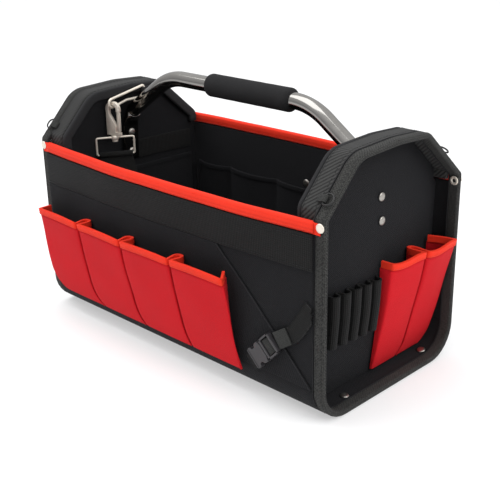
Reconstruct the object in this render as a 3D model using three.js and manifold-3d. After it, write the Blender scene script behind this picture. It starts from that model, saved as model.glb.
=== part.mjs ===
// Open top tool tote, a padded cloth body on a U of board with a hooded house-shaped end
// at each side, a steel tube handle with a foam grip, red pockets and a clipped strap.
// Millimetres, +Z up. +X is the end with the tool loops, -Y is the front with the pocket
// row, and the origin is the middle of the flat bottom.
import * as THREE from 'three';
import { mergeVertices } from 'three/addons/utils/BufferGeometryUtils.js';
import Module from 'manifold-3d';

const wasm = await Module();
wasm.setup();

// Body
const bodyLength = 500;
const bodyWidth = 250;
const rimHeight = 238;
const bottomRadius = 42;
const wall = 6;
const frontBow = 14;
const backBow = 8;
const seat = 0.3;
const curvedSeat = 0.7;

// Hooded ends
const gableHeight = 302;
const gableCrown = 3;
const crownRadius = 108;
const frontSlope = { eave: 242, plateau: 70, radius: 38 };
const backSlope = { eave: 236, plateau: 54, radius: 22 };
const eaveRadius = 7;
const hoodEave = 228;
const hoodFootRound = 7;
const hoodDepth = 38;
const edgeBindingWidth = 14;
const edgeBindingWall = 7;
const seamRollWall = 6;
const seamRollDrop = 13;
const seamRollRound = 15;

// End panels, which lean and bulge outwards inside their hoods
const panelWall = 7;
const panelRecess = 38.5;
const panelLean = 8;
const panelBulge = 12;
const panelEdgeRoom = 1.3;

// Trim along the rim
const rimBindingHeight = 14;
const rimBindingWall = 8;
const clothWall = 1.8;
const topStripHeight = 41;

// Lower layer of the front, whose upper right edge runs down at a slant
const layerTopReach = 99;
const layerBottomReach = 234;

// Front pocket row
const frontPocketTop = 153;
const frontPocketBottom = 34;
const frontPocketDepth = 21;
const frontPocketTail = 4;
const frontPocketLeft = -234;
const frontPocketRight = 129;
const frontPocketCorner = 34;
const frontPocketFlare = 8;
const frontBays = 4;
const pocketBindingHeight = 8;
const pocketBindingWall = 3.4;
const seamNeck = 1.2;
const seamTuck = 5;
const foldRound = 3;
const loopSeam = 4;

// End pocket pair
const endPocketTop = 157;
const endPocketBottom = 11;
const endPocketNearY = -3;
const endPocketNearSlant = 6;
const endPocketFarY = 115;
const endPocketNearDepth = 17;
const endPocketFarDepth = 37;
const endPocketTail = 3;
const endBays = 2;

// Tool loops
const loopCount = 5;
const loopPitch = 17;
const loopHeight = 65;
const loopBottom = 74;
const loopDepth = 10;
const loopRightEdge = -5;

// Pockets and webbing inside
const innerPocketTop = 168;
const innerPocketDepth = 9;
const innerPocketReach = 203;
const innerBayPitch = 92;
const leftPocketTop = 181;
const leftPocketBottom = 48;
const leftPocketDepth = 6;
const leftPocketReach = 108;
const innerBandBottom = 190;
const innerBandHeight = 27;

// Clipped strap on the front
const strapWidth = 20;
const strapWall = 1.8;
const buckleWidth = 26;
const buckleLength = 44;
const buckleWall = 8;
const buckleX = 170.5;
const buckleZ = 72;
const buckleTurn = 46;
const anchorLength = 13;
const strapClimb = 1.06;

// Rivets
const rivetRadius = 5.3;
const rivetHeight = 2.2;
const rimRivetInset = 6;
const rimRivetDrop = 3.5;
const upperRivetZ = 232;
const lowerRivetZ = 204;
const floorRivetInset = 21;
const floorRivetSpread = 76;
const floorRivetShift = 15;

// Handle
const tubeRadius = 10;
const tubeRise = 19;
const tubeBendInset = 153;
const tubeBend = 85;
const tubeSlope = 34.5;
const tubeReachInset = 45;
const legWall = 5;
const legWidth = 26;
const legBottom = 192;
const gripRadius = 14.5;
const gripLength = 142;
const gripShift = 24;
const gripRound = 6;

// Strap ring, swivel hook and its wire loop
const ringWire = 1.8;
const ringBar = 16;
const ringNose = 12.2;
const ringDip = 7.8;
const ringNoseRound = 5;
const ringSlopeRound = 15;
const ringTabLength = 24;
const hookY = 38;
const hookWall = 5;
const hookHalf = 11;
const hookBar = 5;
const hookArm = 33;
const hookTurn = 15;
const swingRoom = 1.6;
const gatePivotRise = 4;
const gateHalf = 2.3;
const gateWall = 4;
const noseDrop = 3;
const stemRadius = 2.5;
const stemHeadRadius = 4;
const collarRadius = 5;
const collarHeight = 5.9;
const stemHeadHeight = 2.5;
const loopWire = 1.5;
const loopFall = 24;
const loopTurn = 60;

// Shoulder strap
const shoulderWidth = 46;
const shoulderWall = 2.2;
const shoulderLie = 24;
const shoulderTurn = 100;
const shoulderBend = 14;

// Small rings on the hoods
const tabWidth = 10;
const tabWall = 1.5;
const sideRingWire = 1;
const sideRingSpan = 13;
const sideRingReach = 10.5;
const frontRingShare = 0.28;
const backRingShare = 0.5;

// Worked out from the sizes above
const halfLength = bodyLength / 2;
const halfWidth = bodyWidth / 2;
const tubeHeight = gableHeight + tubeRise;
const tubeStraight = halfLength - tubeBendInset;
const tubeReach = halfLength - tubeReachInset;
const panelEnd = halfLength - edgeBindingWidth - seat;
const hoodEdge = halfLength - hoodDepth;
const degrees = Math.PI / 180;
const panelTop = rimHeight - rimBindingHeight;

const cloth = new THREE.MeshStandardMaterial({ color: 0x17181a, roughness: 0.85, metalness: 0 });
const webbing = new THREE.MeshStandardMaterial({ color: 0x1d1e20, roughness: 0.8, metalness: 0 });
const redCloth = new THREE.MeshStandardMaterial({ color: 0xd01818, roughness: 0.8, metalness: 0 });
const redTape = new THREE.MeshStandardMaterial({ color: 0xe8301c, roughness: 0.75, metalness: 0 });
const plastic = new THREE.MeshStandardMaterial({ color: 0x232426, roughness: 0.5, metalness: 0 });
const foam = new THREE.MeshStandardMaterial({ color: 0x1a1a1b, roughness: 0.95, metalness: 0 });
const steel = new THREE.MeshStandardMaterial({ color: 0xa9a7a4, roughness: 0.25, metalness: 1 });
const nickel = new THREE.MeshStandardMaterial({ color: 0xcfc7bd, roughness: 0.25, metalness: 1 });

const tote = new THREE.Group();

// A geometry from corner points and triangles, turned so that its faces point out
function closedBody(points, triangles) {
  let volume = 0;
  for (const [a, b, c] of triangles) {
    volume += points[a].dot(new THREE.Vector3().crossVectors(points[b], points[c]));
  }
  const ordered = volume > 0 ? triangles : triangles.map(([a, b, c]) => [a, c, b]);
  const geometry = new THREE.BufferGeometry();
  geometry.setAttribute('position', new THREE.Float32BufferAttribute(points.flatMap((p) => p.toArray()), 3));
  geometry.setIndex(ordered.flat());
  return geometry;
}

// A walled sheet: corner(u, v, side) gives its back face at side 0 and its front at side 1
function sheetBody(us, vs, corner) {
  const points = [];
  const index = (i, j, side) => (i * vs.length + j) * 2 + side;
  for (const u of us) {
    for (const v of vs) {
      points.push(corner(u, v, 0), corner(u, v, 1));
    }
  }
  const triangles = [];
  const quad = (a, b, c, d) => triangles.push([a, b, c], [a, c, d]);
  const lastU = us.length - 1;
  const lastV = vs.length - 1;
  for (let i = 0; i < lastU; i += 1) {
    for (let j = 0; j < lastV; j += 1) {
      quad(index(i, j, 1), index(i + 1, j, 1), index(i + 1, j + 1, 1), index(i, j + 1, 1));
      quad(index(i, j, 0), index(i, j + 1, 0), index(i + 1, j + 1, 0), index(i + 1, j, 0));
    }
    quad(index(i, 0, 0), index(i + 1, 0, 0), index(i + 1, 0, 1), index(i, 0, 1));
    quad(index(i, lastV, 1), index(i + 1, lastV, 1), index(i + 1, lastV, 0), index(i, lastV, 0));
  }
  for (let j = 0; j < lastV; j += 1) {
    quad(index(0, j, 1), index(0, j + 1, 1), index(0, j + 1, 0), index(0, j, 0));
    quad(index(lastU, j, 0), index(lastU, j + 1, 0), index(lastU, j + 1, 1), index(lastU, j, 1));
  }
  return closedBody(points, triangles);
}

// A body through a row of convex sections of equal count, closed on itself or capped
function sectionBody(sections, closed) {
  const count = sections[0].length;
  const points = sections.flat();
  const triangles = [];
  const spans = closed ? sections.length : sections.length - 1;
  for (let i = 0; i < spans; i += 1) {
    const next = (i + 1) % sections.length;
    for (let j = 0; j < count; j += 1) {
      const k = (j + 1) % count;
      const corners = [i * count + j, next * count + j, next * count + k, i * count + k];
      triangles.push([corners[0], corners[1], corners[2]], [corners[0], corners[2], corners[3]]);
    }
  }
  if (!closed) {
    const last = (sections.length - 1) * count;
    for (let j = 1; j < count - 1; j += 1) {
      triangles.push([0, j, j + 1], [last, last + j + 1, last + j]);
    }
  }
  return closedBody(points, triangles);
}

// Points and outward normals along a line through corners that are rounded off
function roundedLine(corners, closed, steps) {
  const trail = [];
  const count = corners.length;
  for (let i = 0; i < count; i += 1) {
    const here = new THREE.Vector2(corners[i].y, corners[i].z);
    const isEnd = !closed && (i === 0 || i === count - 1);
    const before = corners[(i + count - 1) % count];
    const after = corners[(i + 1) % count];
    const inward = here.clone().sub(new THREE.Vector2(before.y, before.z)).normalize();
    const outward = new THREE.Vector2(after.y, after.z).sub(here).normalize();
    if (isEnd) {
      const along = i === 0 ? outward : inward;
      trail.push({ y: here.x, z: here.y, ny: along.y, nz: -along.x });
      continue;
    }
    const turn = Math.atan2(inward.x * outward.y - inward.y * outward.x, inward.dot(outward));
    const back = corners[i].radius * Math.tan(Math.abs(turn) / 2);
    const start = here.clone().addScaledVector(inward, -back);
    const toCentre = new THREE.Vector2(-inward.y, inward.x).multiplyScalar(Math.sign(turn));
    const centre = start.clone().addScaledVector(toCentre, corners[i].radius);
    for (let k = 0; k <= steps; k += 1) {
      const spoke = toCentre.clone().negate().rotateAround(new THREE.Vector2(), (turn * k) / steps);
      const point = centre.clone().addScaledVector(spoke, corners[i].radius);
      const facing = Math.sign(turn);
      trail.push({ y: point.x, z: point.y, ny: spoke.x * facing, nz: spoke.y * facing });
    }
  }
  return trail;
}

// Even steps from 0 to 1
function shares(count) {
  return Array.from({ length: count + 1 }, (unused, i) => i / count);
}

function mix(from, to, share) {
  return from + (to - from) * share;
}

function addPart(parent, name, geometry, material) {
  geometry.computeVertexNormals();
  const mesh = new THREE.Mesh(geometry, material);
  mesh.name = name;
  parent.add(mesh);
  return mesh;
}

function toSolid(geometry) {
  const bare = geometry.clone();
  bare.deleteAttribute('normal');
  bare.deleteAttribute('uv');
  const merged = mergeVertices(bare, 1e-5);
  return new wasm.Manifold(new wasm.Mesh({
    numProp: 3,
    vertProperties: new Float32Array(merged.attributes.position.array),
    triVerts: new Uint32Array(merged.index.array),
  }));
}

function fromSolid(solid) {
  const mesh = solid.getMesh();
  const geometry = new THREE.BufferGeometry();
  geometry.setAttribute('position', new THREE.BufferAttribute(mesh.vertProperties, 3));
  geometry.setIndex(new THREE.BufferAttribute(mesh.triVerts, 1));
  return geometry;
}

// How far the long walls bow outwards, most at the middle of the rim
function bow(x, z, most) {
  const rise = Math.max(0, (z - bottomRadius) / (rimHeight - bottomRadius));
  return most * (1 - (x / halfLength) ** 2) * rise ** 1.2;
}

function frontFace(x, z) {
  return -(halfWidth + bow(x, z, frontBow));
}

function backFace(x, z) {
  return halfWidth + bow(x, z, backBow);
}

// Outer face of an end panel, at the +X end
function endFace(y, z) {
  const bulge = panelBulge * (1 - (y / halfWidth) ** 2) * Math.sin((Math.PI * z) / gableHeight);
  return halfLength - panelRecess + (panelLean * z) / gableHeight + bulge;
}

// The slopes of one end in its own frame: the first is the one on its -Y side. The slope on
// the front of the bag stands further out than the one on the back.
function endSlopes(side) {
  return side === 'right' ? [frontSlope, backSlope] : [backSlope, frontSlope];
}

// Corners of the house outline of an end, anticlockwise from the bottom left
function houseCorners(side) {
  const [low, high] = endSlopes(side);
  return [
    { y: -halfWidth, z: 0, radius: bottomRadius },
    { y: halfWidth, z: 0, radius: bottomRadius },
    { y: halfWidth, z: high.eave, radius: eaveRadius },
    { y: high.plateau, z: gableHeight - gableCrown, radius: high.radius },
    { y: 0, z: gableHeight, radius: crownRadius },
    { y: -low.plateau, z: gableHeight - gableCrown, radius: low.radius },
    { y: -halfWidth, z: low.eave, radius: eaveRadius },
  ];
}

// The bottom and its two round corners, one board bent to a U
function makeBase() {
  const flat = { y: halfWidth, z: bottomRadius };
  const line = roundedLine([
    { y: -flat.y, z: flat.z },
    { y: -halfWidth, z: 0, radius: bottomRadius },
    { y: halfWidth, z: 0, radius: bottomRadius },
    { y: flat.y, z: flat.z },
  ], false, 6);
  const stops = line.slice(1, -1);
  const geometry = sheetBody([-panelEnd, panelEnd], stops.map((unused, i) => i), (x, i, side) => {
    const stop = stops[i];
    const depth = side === 0 ? wall : 0;
    return new THREE.Vector3(x, stop.y - stop.ny * depth, stop.z - stop.nz * depth);
  });
  addPart(tote, 'base_panel', geometry, cloth);
}

// A long wall with its red rim binding and the ribbed strip under it
function makeLongWall(side, face) {
  const facing = side === 'front' ? -1 : 1;
  const columns = shares(12).map((u) => mix(-panelEnd, panelEnd, u));
  const bottom = bottomRadius + seat;
  const layer = (outer, thickness) => (x, z, w) => {
    const y = face(x, z) + facing * (outer - (w === 0 ? thickness : 0));
    return new THREE.Vector3(x, y, z);
  };
  const rows = shares(4).map((v) => mix(bottom, panelTop, v));
  addPart(tote, `${side}_panel`, sheetBody(columns, rows, layer(0, wall)), cloth);

  const proud = (rimBindingWall - wall) / 2;
  const lip = 2;
  const bindingRows = [panelTop + seat, rimHeight - lip, rimHeight];
  const binding = sheetBody(columns, bindingRows, (x, z, w) => {
    const round = z === rimHeight ? lip : 0;
    const outer = w === 0 ? proud - rimBindingWall + round : proud - round;
    return new THREE.Vector3(x, face(x, z) + facing * outer, z);
  });
  addPart(tote, `rim_binding_${side}`, binding, redTape);

  const stripRows = [panelTop - topStripHeight, panelTop];
  const strip = sheetBody(columns, stripRows, layer(seat + clothWall, clothWall));
  addPart(tote, `top_strip_${side}`, strip, webbing);
}

// The cloth layer that covers the lower left of the front up to its slanted edge
function makeFrontLayer() {
  const top = panelTop - topStripHeight - seat;
  const bottom = bottomRadius + seat;
  const geometry = sheetBody(shares(12), shares(3), (u, v, w) => {
    const z = mix(bottom, top, v);
    const reach = mix(layerBottomReach, layerTopReach, v);
    const x = mix(-panelEnd, reach, u);
    return new THREE.Vector3(x, frontFace(x, z) - seat - w * clothWall, z);
  });
  addPart(tote, 'front_layer', geometry, cloth);
}

// A cloth wall that is folded in plan. plan(i, z) gives its outer line as distance along and
// out, and the inner face lies one thickness inside it, square to the line at every corner.
function foldedBody(count, rows, thickness, plan, toWorld) {
  const inner = (i, z) => {
    const here = plan(i, z);
    const sides = [];
    for (const [from, to] of [[i - 1, i], [i, i + 1]]) {
      if (from >= 0 && to < count) {
        const run = plan(to, z).sub(plan(from, z)).normalize();
        sides.push(new THREE.Vector2(run.y, -run.x));
      }
    }
    const across = sides[0].clone().add(sides[sides.length - 1]).normalize();
    const reach = Math.min(1 / Math.max(across.dot(sides[0]), 0.1), 1.5);
    return here.addScaledVector(across, thickness * reach);
  };
  const stops = Array.from({ length: count }, (unused, i) => i);
  return sheetBody(stops, rows, (i, z, w) => {
    const at = w === 0 ? inner(i, z) : plan(i, z);
    return toWorld(at.x, at.y, z);
  });
}

// Plan of a row of pleated pockets, as a share of the row and a share of the full depth. At
// each seam the cloth is tucked in behind both bays, so that only a narrow slit shows.
function pleatStops(bays, span) {
  const neck = seamNeck / 2 / span;
  const tuck = (seamNeck / 2 + seamTuck) / span;
  const round = foldRound / span;
  const lastTuck = (seamTuck * 3) / span;
  const stops = [];
  for (let bay = 0; bay < bays; bay += 1) {
    const first = bay === 0;
    const last = bay === bays - 1;
    const start = first ? 0 : neck;
    const end = last ? 0 : neck;
    const pattern = [[first ? 0 : tuck, 0], [start + round * 0.1, 0.86], [start + round, 1], [0.5, 1.06],
      [1 - end - round, 1], [1 - end - round * 0.1, last ? 0.72 : 0.86], [1 - (last ? lastTuck : tuck), 0]];
    for (const [at, out] of pattern) {
      const seam = at < 0.5 ? start : 1 - end;
      stops.push({ at: (bay + at) / bays, out, seam: (bay + seam) / bays });
    }
  }
  return stops;
}

// Where a stop lies along its row: a tuck is as wide as its bay is deep there
function placeOf(stop, depthShare) {
  return stop.out === 0 ? mix(stop.seam, stop.at, depthShare) : stop.at;
}

// The row of red pockets on the front and the tape along its top
function makeFrontPockets() {
  const stops = pleatStops(frontBays, (frontPocketRight - frontPocketLeft) / frontBays);
  const sewn = seat + clothWall + seat;
  const plan = (thickness) => (i, z) => {
    const rise = (z - frontPocketBottom) / (frontPocketTop - frontPocketBottom);
    const low = Math.max(0, frontPocketCorner - (z - frontPocketBottom));
    const left = frontPocketLeft + frontPocketCorner - Math.sqrt(frontPocketCorner ** 2 - low ** 2);
    const right = frontPocketRight + frontPocketFlare * (1 - rise) ** 3;
    const depth = mix(frontPocketTail, frontPocketDepth, rise ** 0.8);
    const at = placeOf(stops[i], depth / frontPocketDepth);
    return new THREE.Vector2(mix(left, right, at), sewn + thickness + stops[i].out * depth);
  };
  const toWorld = (x, out, z) => new THREE.Vector3(x, frontFace(x, z) - out, z);
  const seamTop = frontPocketTop - pocketBindingHeight;
  const rows = [0.01, 0.05, 0.13, 0.3, 0.62, 1].map((v) => mix(frontPocketBottom, seamTop - seat, v));
  const pocket = foldedBody(stops.length, rows, clothWall, plan(clothWall), toWorld);
  addPart(tote, 'front_pocket_row', pocket, redCloth);
  const tapeRows = [seamTop, frontPocketTop];
  const tape = foldedBody(stops.length, tapeRows, pocketBindingWall, plan(pocketBindingWall), toWorld);
  addPart(tote, 'front_pocket_binding', tape, redTape);
}

// The pair of red pockets on the +X end, which stand out most at the back corner
function makeEndPockets() {
  const stops = pleatStops(endBays, (endPocketFarY - endPocketNearY) / endBays);
  const plan = (thickness) => (i, z) => {
    const rise = (z - endPocketBottom) / (endPocketTop - endPocketBottom);
    const most = mix(endPocketNearDepth, endPocketFarDepth, stops[i].at);
    const depth = mix(endPocketTail, most, rise ** 0.9);
    const farY = Math.min(endPocketFarY, panelHalf(z) - seat * 2);
    const nearY = endPocketNearY + endPocketNearSlant * (1 - rise);
    const at = placeOf(stops[i], depth / most);
    return new THREE.Vector2(mix(nearY, farY, at), seat + thickness + stops[i].out * depth);
  };
  const toWorld = (y, out, z) => new THREE.Vector3(endFace(y, z) + out, y, z);
  const seamTop = endPocketTop - pocketBindingHeight;
  const rows = [0, 0.04, 0.1, 0.22, 0.48, 0.75, 1].map((v) => mix(endPocketBottom, seamTop - seat, v));
  const pocket = foldedBody(stops.length, rows, clothWall, plan(clothWall), toWorld);
  addPart(tote, 'end_pocket', pocket, redCloth);
  const tapeRows = [seamTop, endPocketTop];
  const tape = foldedBody(stops.length, tapeRows, pocketBindingWall, plan(pocketBindingWall), toWorld);
  addPart(tote, 'end_pocket_binding', tape, redTape);
}

// One wide elastic band sewn down at even steps, which makes a row of upright tool loops
function makeToolLoops() {
  const span = loopPitch * loopCount;
  const strip = loopSeam / 2 / loopPitch;
  const round = foldRound / loopPitch;
  const pattern = [[strip, 0], [strip + round * 0.2, 0.8], [strip + round, 0.98], [0.5, 1.06],
    [1 - strip - round, 0.98], [1 - strip - round * 0.2, 0.8], [1 - strip, 0]];
  const stops = [{ at: 0, out: 0 }];
  for (let loop = 0; loop < loopCount; loop += 1) {
    pattern.forEach(([at, out]) => stops.push({ at: (loop + at) / loopCount, out }));
  }
  stops.push({ at: 1, out: 0 });
  const near = loopRightEdge - span;
  const plan = (i) => new THREE.Vector2(near + stops[i].at * span, seat + clothWall + stops[i].out * loopDepth);
  const toWorld = (y, out, z) => new THREE.Vector3(endFace(y, z) + out, y, z);
  const rows = shares(3).map((v) => loopBottom + v * loopHeight);
  addPart(tote, 'tool_loops', foldedBody(stops.length, rows, clothWall, plan, toWorld), webbing);
}

// The hood stands on the inside of the long walls and meets the slopes of the outline above
const hoodFoot = halfWidth - wall - seat;

function slopeClimb(slope) {
  return (gableHeight - gableCrown - slope.eave) / (halfWidth - slope.plateau);
}

// Half width under a slope at a height, at a depth square to it
function underSlope(slope, z, depth) {
  const climb = slopeClimb(slope);
  return halfWidth - (z - slope.eave) / climb - (depth * Math.hypot(1, climb)) / climb;
}

// Half the width of an end panel at a height, inside the base, the walls and the hood
function panelHalf(z, slope = backSlope) {
  const inset = wall + seat * 2.5;
  const round = bottomRadius - inset;
  if (z < bottomRadius) {
    return halfWidth - bottomRadius + Math.sqrt(Math.max(0, round ** 2 - (bottomRadius - z) ** 2));
  }
  const side = halfWidth - inset;
  const underHood = hoodFoot - wall - panelEdgeRoom;
  const step = side - underHood;
  const narrowed = side - (step * Math.max(0, z - hoodEave + 1 + step)) / step;
  return Math.min(side, Math.max(narrowed, underHood), underSlope(slope, z, wall + panelEdgeRoom));
}

// A house-shaped padded panel set back inside its hood
function makeEndPanel(group, side) {
  const [low, high] = endSlopes(side);
  const bottom = wall + seat * 2.5;
  const top = gableHeight - gableCrown - wall - panelEdgeRoom;
  const underHood = hoodFoot - wall - panelEdgeRoom;
  const shoulder = hoodEave - 1 - (halfWidth - wall - seat * 2.5 - underHood);
  const onSlope = backSlope.eave + 3;
  const cornerCut = 7;
  const rows = [
    ...[0, 0.06, 0.2, 0.42, 0.7, 1].map((v) => mix(bottom, bottomRadius, v)),
    ...[0.33, 0.67, 1].map((v) => mix(bottomRadius, shoulder, v)),
    hoodEave - 1,
    onSlope,
    frontSlope.eave + 4,
    mix(frontSlope.eave, top, 0.5),
    top - cornerCut,
    top,
  ];
  const columns = shares(8).map((u) => u * 2 - 1);
  const geometry = sheetBody(columns, rows, (u, z, w) => {
    const cut = z === top ? cornerCut : 0;
    const y = u * (panelHalf(z, u < 0 ? low : high) - cut);
    return new THREE.Vector3(endFace(y, z) - (1 - w) * panelWall, y, z);
  });
  addPart(group, `end_panel_${side}`, geometry, cloth);
}

// A band of cloth along part of the house outline, between two distances from the middle
function bandBody(line, closed, fromX, toX, outer, inner) {
  const sections = line.map((stop) => {
    const corner = (x, depth) => new THREE.Vector3(x, stop.y - stop.ny * depth, stop.z - stop.nz * depth);
    return [corner(fromX, outer), corner(toX, outer), corner(toX, inner), corner(fromX, inner)];
  });
  return sectionBody(sections, closed);
}

// The hood over an end panel, its bound outer edge all round and the seam roll inside
function makeHood(group, side) {
  const corners = houseCorners(side);
  const edge = roundedLine(corners, true, 4);
  const bindingStart = halfLength - edgeBindingWidth;
  const binding = bandBody(edge, true, bindingStart, halfLength, 0, edgeBindingWall);
  addPart(group, `edge_binding_${side}`, binding, webbing);

  const [low, high] = endSlopes(side);
  const meeting = (slope) => slope.eave + (halfWidth - hoodFoot) * slopeClimb(slope);
  const arch = (footRound) => roundedLine([
    { y: hoodFoot, z: hoodEave },
    { y: hoodFoot, z: meeting(high), radius: footRound },
    ...corners.slice(3, 6),
    { y: -hoodFoot, z: meeting(low), radius: footRound },
    { y: -hoodFoot, z: hoodEave },
  ], false, 4);
  const band = bandBody(arch(hoodFootRound), false, hoodEdge, bindingStart - seat, 0, wall);
  addPart(group, `hood_band_${side}`, band, cloth);
  const rollEnd = hoodEdge - seat;
  const roll = bandBody(arch(seamRollRound), false, rollEnd - seamRollWall, rollEnd, 0, seamRollDrop);
  addPart(group, `seam_roll_${side}`, roll, cloth);
}

function rivetGeometry(radius, height) {
  const dome = [[0, 0], [1, 0], [1, 0.3], [0.65, 0.85], [0, 1]];
  return new THREE.LatheGeometry(dome.map(([r, h]) => new THREE.Vector2(r * radius, h * height)), 10);
}

function addRivet(group, name, position, facing) {
  const rivet = addPart(group, name, rivetGeometry(rivetRadius, rivetHeight), nickel);
  rivet.position.copy(position);
  rivet.quaternion.setFromUnitVectors(new THREE.Vector3(0, 1, 0), facing);
}

function makeRimRivets() {
  for (const [end, sign] of [['left', -1], ['right', 1]]) {
    const x = sign * (halfLength - rimRivetInset);
    for (const [side, facing, slope] of [['front', -1, frontSlope], ['back', 1, backSlope]]) {
      const z = slope.eave - rimRivetDrop - rivetRadius - seat;
      const place = new THREE.Vector3(x, facing * (halfWidth + seat), z);
      addRivet(tote, `rim_rivet_${side}_${end}`, place, new THREE.Vector3(0, facing, 0));
    }
  }
}

function makeHandleRivets(group, side) {
  for (const [level, z] of [['upper', upperRivetZ], ['lower', lowerRivetZ]]) {
    const place = new THREE.Vector3(endFace(0, z) + curvedSeat, 0, z);
    addRivet(group, `handle_rivet_${level}_${side}`, place, new THREE.Vector3(1, 0, 0));
  }
}

function makeFloorRivets() {
  for (const [name, sign] of [['near', -1], ['far', 1]]) {
    const y = sign * floorRivetSpread + floorRivetShift;
    const inner = bottomRadius - wall;
    const turn = Math.asin(Math.max(0, Math.abs(y) - halfWidth + bottomRadius) / inner);
    const sunk = inner - seat - (turn > 0 ? inner - Math.sqrt(inner ** 2 - rivetRadius ** 2) : 0);
    const middle = y - sign * inner * Math.sin(turn);
    const place = new THREE.Vector3(
      halfLength - floorRivetInset,
      middle + sign * sunk * Math.sin(turn),
      bottomRadius - sunk * Math.cos(turn),
    );
    addRivet(tote, `floor_rivet_${name}`, place, new THREE.Vector3(0, -sign * Math.sin(turn), Math.cos(turn)));
  }
}

// Centre line of the tube from the middle to one end, then its flattened leg on the panel
function handleStations() {
  const slope = tubeSlope * degrees;
  const stations = [];
  const add = (x, z, angle, halfY, halfThick) => stations.push({ x, z, angle, halfY, halfThick });
  add(0, tubeHeight, 0, tubeRadius, tubeRadius);
  const bendSteps = 5;
  for (let k = 0; k <= bendSteps; k += 1) {
    const angle = (slope * k) / bendSteps;
    const x = tubeStraight + tubeBend * Math.sin(angle);
    add(x, tubeHeight - tubeBend * (1 - Math.cos(angle)), angle, tubeRadius, tubeRadius);
  }
  const bent = stations[stations.length - 1];
  const endZ = bent.z - (tubeReach - bent.x) * Math.tan(slope);
  add(tubeReach, endZ, slope, tubeRadius, tubeRadius);
  const legX = (z) => endFace(0, z) - panelWall - curvedSeat * 1.5 - legWall / 2;
  const squeeze = [[0.32, 0.58, 0.5, 0.62], [0.62, 0.85, 0.82, 0.28], [1, 1, 1, 0]];
  const squeezeDrop = 22;
  for (const [drop, turn, spread, thick] of squeeze) {
    const z = endZ - drop * squeezeDrop;
    const angle = mix(slope, Math.PI / 2, turn);
    const halfThick = mix(legWall / 2, tubeRadius, thick);
    const x = mix(tubeReach, legX(z) - halfThick + legWall / 2, turn ** 0.8);
    add(x, z, angle, mix(tubeRadius, legWidth / 2, spread), halfThick);
  }
  const legTop = endZ - squeezeDrop;
  for (const share of [0.33, 0.67, 1]) {
    const z = mix(legTop, legBottom, share);
    add(legX(z), z, Math.PI / 2, legWidth / 2, legWall / 2);
  }
  return stations;
}

// One steel tube over both ends, pressed flat where it is riveted to the panels
function makeHandle() {
  const half = handleStations();
  const left = half.slice(1).reverse().map((s) => ({ ...s, x: -s.x, angle: -s.angle }));
  const sides = 12;
  const sections = [...left, ...half].map((station) => {
    const roundness = (station.halfThick * 2 - legWall) / (tubeRadius * 2 - legWall);
    const power = mix(0.5, 1, roundness);
    const soften = (value) => Math.sign(value) * Math.abs(value) ** power;
    return Array.from({ length: sides }, (unused, k) => {
      const turn = ((k + 0.5) * 2 * Math.PI) / sides;
      const across = soften(Math.sin(turn)) * station.halfY;
      const out = soften(Math.cos(turn)) * station.halfThick;
      const x = station.x + out * Math.sin(station.angle);
      return new THREE.Vector3(x, across, station.z + out * Math.cos(station.angle));
    });
  });
  addPart(tote, 'handle_tube', sectionBody(sections, false), steel);

  const bore = tubeRadius + seat;
  const end = gripLength / 2;
  const profile = [
    [bore, -end], [gripRadius - gripRound * 0.6, -end], [gripRadius - gripRound * 0.15, -end + gripRound * 0.5],
    [gripRadius, -end + gripRound], [gripRadius, end - gripRound],
    [gripRadius - gripRound * 0.15, end - gripRound * 0.5], [gripRadius - gripRound * 0.6, end],
    [bore, end], [bore, -end],
  ];
  const grip = new THREE.LatheGeometry(profile.map(([r, h]) => new THREE.Vector2(r, h)), 16);
  const mesh = addPart(tote, 'handle_grip', grip, foam);
  mesh.rotation.z = -Math.PI / 2;
  mesh.position.set(gripShift, 0, tubeHeight);
}

// Height of the top of the sloping tube at a distance from the middle
function tubeTopAt(x) {
  const slope = tubeSlope * degrees;
  const startX = tubeStraight + tubeBend * Math.sin(slope);
  const startZ = tubeHeight - tubeBend * (1 - Math.cos(slope));
  return startZ - (x - startX) * Math.tan(slope) + tubeRadius / Math.cos(slope);
}

// A round wire along a closed rounded line in the upright plane across the part
function wireLoop(corners, wire, steps, sides) {
  const sections = roundedLine(corners, true, steps).map((stop) => (
    Array.from({ length: sides }, (unused, k) => {
      const turn = (k * 2 * Math.PI) / sides;
      const out = wire * Math.cos(turn);
      return new THREE.Vector3(wire * Math.sin(turn), stop.y + stop.ny * out, stop.z + stop.nz * out);
    })
  ));
  return sectionBody(sections, true);
}

// A webbing tab folded round a wire, drawn in its own side view: a flat tongue towards -x
// with its underside level, and an eye round the origin
function tabGeometry(wire, tongue, width) {
  const eye = wire + seat;
  const outer = eye + tabWall;
  const shape = new THREE.Shape();
  shape.moveTo(-tongue, -outer);
  shape.lineTo(0, -outer);
  shape.absarc(0, 0, outer, -Math.PI / 2, Math.PI * 0.75, false);
  shape.lineTo(-outer * 1.7, -outer + 2 * tabWall);
  shape.lineTo(-tongue, -outer + 2 * tabWall);
  shape.closePath();
  const hole = new THREE.Path();
  hole.absarc(0, 0, eye, 0, Math.PI * 2, true);
  shape.holes.push(hole);
  const geometry = new THREE.ExtrudeGeometry(shape, { depth: width, bevelEnabled: false, curveSegments: 6 });
  return geometry.translate(0, 0, -width / 2);
}

function placeByAxes(mesh, xAxis, yAxis, position) {
  const zAxis = new THREE.Vector3().crossVectors(xAxis, yAxis);
  mesh.quaternion.setFromRotationMatrix(new THREE.Matrix4().makeBasis(xAxis, yAxis, zAxis));
  mesh.position.copy(position);
}

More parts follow.
